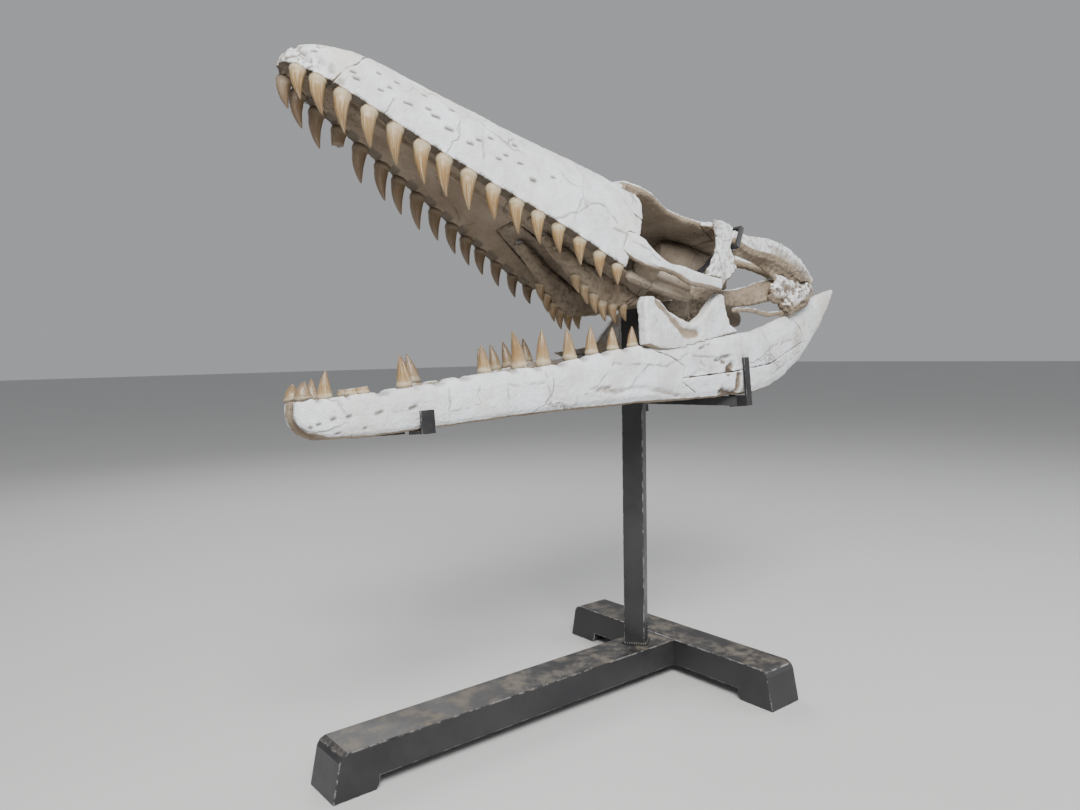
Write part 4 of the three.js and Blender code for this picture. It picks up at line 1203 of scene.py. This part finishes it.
@dataclass
class Mandible:
    """Both rami of the lower jaw, with their teeth."""

    shop: Workshop
    bones: BoneMaker
    teeth: ToothMaker

    def lower_teeth(self, side: Side, seed: int) -> list:
        """Returns the lower teeth of one side, front to back."""
        roll = Dice(seed)
        made = []
        for index, (x, size, lean) in enumerate(LOWER_LEFT if side is Side.LEFT else LOWER_RIGHT):
            k = size * (0.97 + 0.06 * roll())
            sign = side.value
            made.append(Tooth(
                base=(x, sign * float(along(RAMUS, x)), float(along(RAMUS, x, 2)) - 2),
                axis=(0.14 if index == 0 else 0.04, sign * 0.04, 1),
                lean=(lean, sign * 2, 0),
                length=LOWER_LENGTH * k if size else 3.4 * STUB,
                radius=TOOTH_RADIUS * (0.5 + 0.5 * k) * (1.45 if index == 0 else 1.0) if size else 8.0,
                # The right teeth lie in shadow and get painted shade; the first left tooth is browner in
                # tone
                tint=0.5 if side is Side.RIGHT else (0.6 if index == 0 else 0.1),
                snapped=0.0 if size else 0.3,
            ))
        return made

    def build(self) -> None:
        """Builds the mandible's bones and teeth."""
        marks = slits(JAW_HOLES) + cracks(JAW_CRACKS) + hollows(JAW_HOLLOWS)
        # The trough is browned with staining and painted shade
        trough = Mark(TROUGH, 9.0, 4.0, 0.0, 0.85, 2.2)
        for side in Side:
            near = side is Side.LEFT
            own = marks if near else tuple(mark.mirrored() for mark in marks)
            voxel = 1.9 if near else 2.4
            for name in ("dentary", "surangular", "angular", "articular"):
                spec = BoneSpec(f"{name}_{side.label}", voxel, below=(-0.45, -0.85), lumps=1.2)
                self.bones.make(spec, own)
            saddle = BoneSpec(f"coronoid_{side.label}", 1.9, below=(-0.3, -0.8), lumps=1.6)
            self.bones.make(saddle, (trough, *own) if near else own)
            row = self.lower_teeth(side, 37 if near else 53)
            self.teeth.row(f"teeth_dentary_{side.label}", row, self.shop.frames.jaw)


@dataclass
class Stand:
    """The welded steel stand: beams, post, rail, arms, clips, yoke and clamps."""

    shop: Workshop
    edge: float = 1.6
    slim_edge: float = 0.7
    post_half: float = 20.0
    post_turn: float = 34.0
    bead: float = 4.2
    beads_per_side: int = 9

    def soften(self, node: str, width: float) -> None:
        """Rounds the edges of one steel node and marks them for wear.

        Args:
            node: The node.
            width: The rounding in millimetres.
        """
        bm = solid_of(node)
        flat, sharp_from = math.radians(2), math.radians(28)
        bmesh.ops.dissolve_limit(bm, angle_limit=flat, verts=bm.verts, edges=bm.edges)
        sharp = [e for e in bm.edges if len(e.link_faces) == 2 and e.calc_face_angle(0) > sharp_from]
        layer = bm.faces.layers.float.new("edge")
        made = bmesh.ops.bevel(
            bm, geom=sharp, offset=width * MM, offset_type="OFFSET", segments=2, profile=0.5,
            affect="EDGES", material=-1, clamp_overlap=True,
        )
        for face in made["faces"]:
            face[layer] = 1.0
        bmesh.ops.triangulate(bm, faces=bm.faces)
        mesh = self.shop.mesh_of(bm, "steel_" + node, smooth=False)
        piece = self.shop.link("steel_" + node.removeprefix("stand_"), mesh, self.shop.steel, "black_steel")
        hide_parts(node)

    def welds(self) -> None:
        """Lays the scalloped weld along the foot of the post."""
        low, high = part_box("stand_post")
        middle = Vector(((low.x + high.x) / 2, (low.y + high.y) / 2, low.z + 1.2 * MM))
        half = self.post_half * MM
        turn = Matrix.Rotation(math.radians(self.post_turn), 4, "Z")
        roll = Dice(5)
        bm = bmesh.new()
        for quarter in range(4):
            for step in range(self.beads_per_side):
                share = (step + 0.5) / self.beads_per_side * 2 - 1
                spot = Vector((half + 1.0 * MM, share * half, 0))
                pose = Matrix.Translation(middle) @ turn @ Matrix.Rotation(math.pi / 2 * quarter, 4, "Z")
                size = self.bead * MM * (0.9 + 0.2 * roll())
                shape = Matrix.Diagonal((size, size * 0.8, size * 0.9, 1.0))
                bmesh.ops.create_icosphere(
                    bm, subdivisions=2, radius=1.0, matrix=pose @ Matrix.Translation(spot) @ shape,
                )
        mesh = self.shop.mesh_of(bm, "steel_weld")
        self.shop.link("steel_weld", mesh, self.shop.steel, "black_steel")

    def build(self) -> None:
        """Builds every piece of the stand."""
        for node in ("beam_long", "beam_cross", "post"):
            self.soften("stand_" + node, self.edge)
        slim = ["rail", "yoke"]
        paired = ("arm", "clip_rear", "clip_front", "clamp")
        slim += [f"{name}_{side.label}" for name in paired for side in Side]
        for node in slim:
            self.soften("stand_" + node, self.slim_edge)
        self.welds()


@dataclass
class Studio:
    """Floor, lights, world and camera."""

    eye: tuple = (-1.0364, -1.100, 0.643)
    look: tuple = (0.6252, 0.7776, -0.0663)
    turn: float = -1.0
    lens: float = 27.03
    lights: tuple = (
        ((-1.6, -2.2, 2.9), (0.0, 0.0, 0.7), 1.7, 250.0, (1.0, 0.99, 0.97)),
        ((2.4, -1.6, 2.2), (0.1, 0.0, 0.6), 2.4, 38.0, (0.93, 0.96, 1.0)),
        ((0.6, 2.6, 2.6), (0.1, 0.0, 0.7), 2.0, 45.0, (1.0, 1.0, 1.0)),
    )

    def floor(self) -> None:
        """Lays the plain pale floor."""
        bm = bmesh.new()
        bmesh.ops.create_grid(bm, x_segments=2, y_segments=2, size=30.0)
        mesh = Workshop.mesh_of(bm, "floor", smooth=False)
        ground = put("floor", mesh)
        mesh.materials.append(FloorFinish().build())

    def lamps(self) -> None:
        """Hangs the soft lights and sets the pale surroundings."""
        for number, (place, target, size, power, colour) in enumerate(self.lights):
            data = bpy.data.lights.new(f"softbox_{number}", "AREA")
            data.size = size
            data.energy = power
            data.color = colour
            lamp = put(f"softbox_{number}", data)
            lamp.location = place
            lamp.rotation_euler = (Vector(target) - Vector(place)).to_track_quat("-Z", "Y").to_euler()
        world = bpy.data.worlds.new("surroundings")
        bpy.context.scene.world = world
        world.use_nodes = True
        sky = world.node_tree.nodes["Background"]
        sky.inputs["Color"].default_value = (0.80, 0.81, 0.83, 1)
        sky.inputs["Strength"].default_value = 0.46

    def camera(self) -> None:
        """Sets the camera at the photograph's angle."""
        data = bpy.data.cameras.new("camera")
        data.sensor_fit = "HORIZONTAL"
        data.sensor_width = 36.0
        data.lens = self.lens
        data.clip_end = 100.0
        view = put("camera", data)
        view.location = self.eye
        aim = Vector(self.look).to_track_quat("-Z", "Y")
        view.rotation_mode = "QUATERNION"
        view.rotation_quaternion = aim @ Quaternion((0, 0, 1), math.radians(self.turn))
        bpy.context.scene.camera = view

    def build(self) -> None:
        """Sets the whole studio."""
        self.floor()
        self.lamps()
        self.camera()


def main() -> None:
    """Builds the skull, the stand and the studio."""
    logging.basicConfig(level=logging.INFO, format="%(message)s")
    noise.seed_set(DRIFT_SEED)
    shop = Workshop()
    bones = BoneMaker(shop)
    teeth = ToothMaker(shop)
    Cranium(shop, bones, teeth).build()
    Mandible(shop, bones, teeth).build()
    Stand(shop).build()
    Studio().build()


if __name__ == "__main__":
    main()
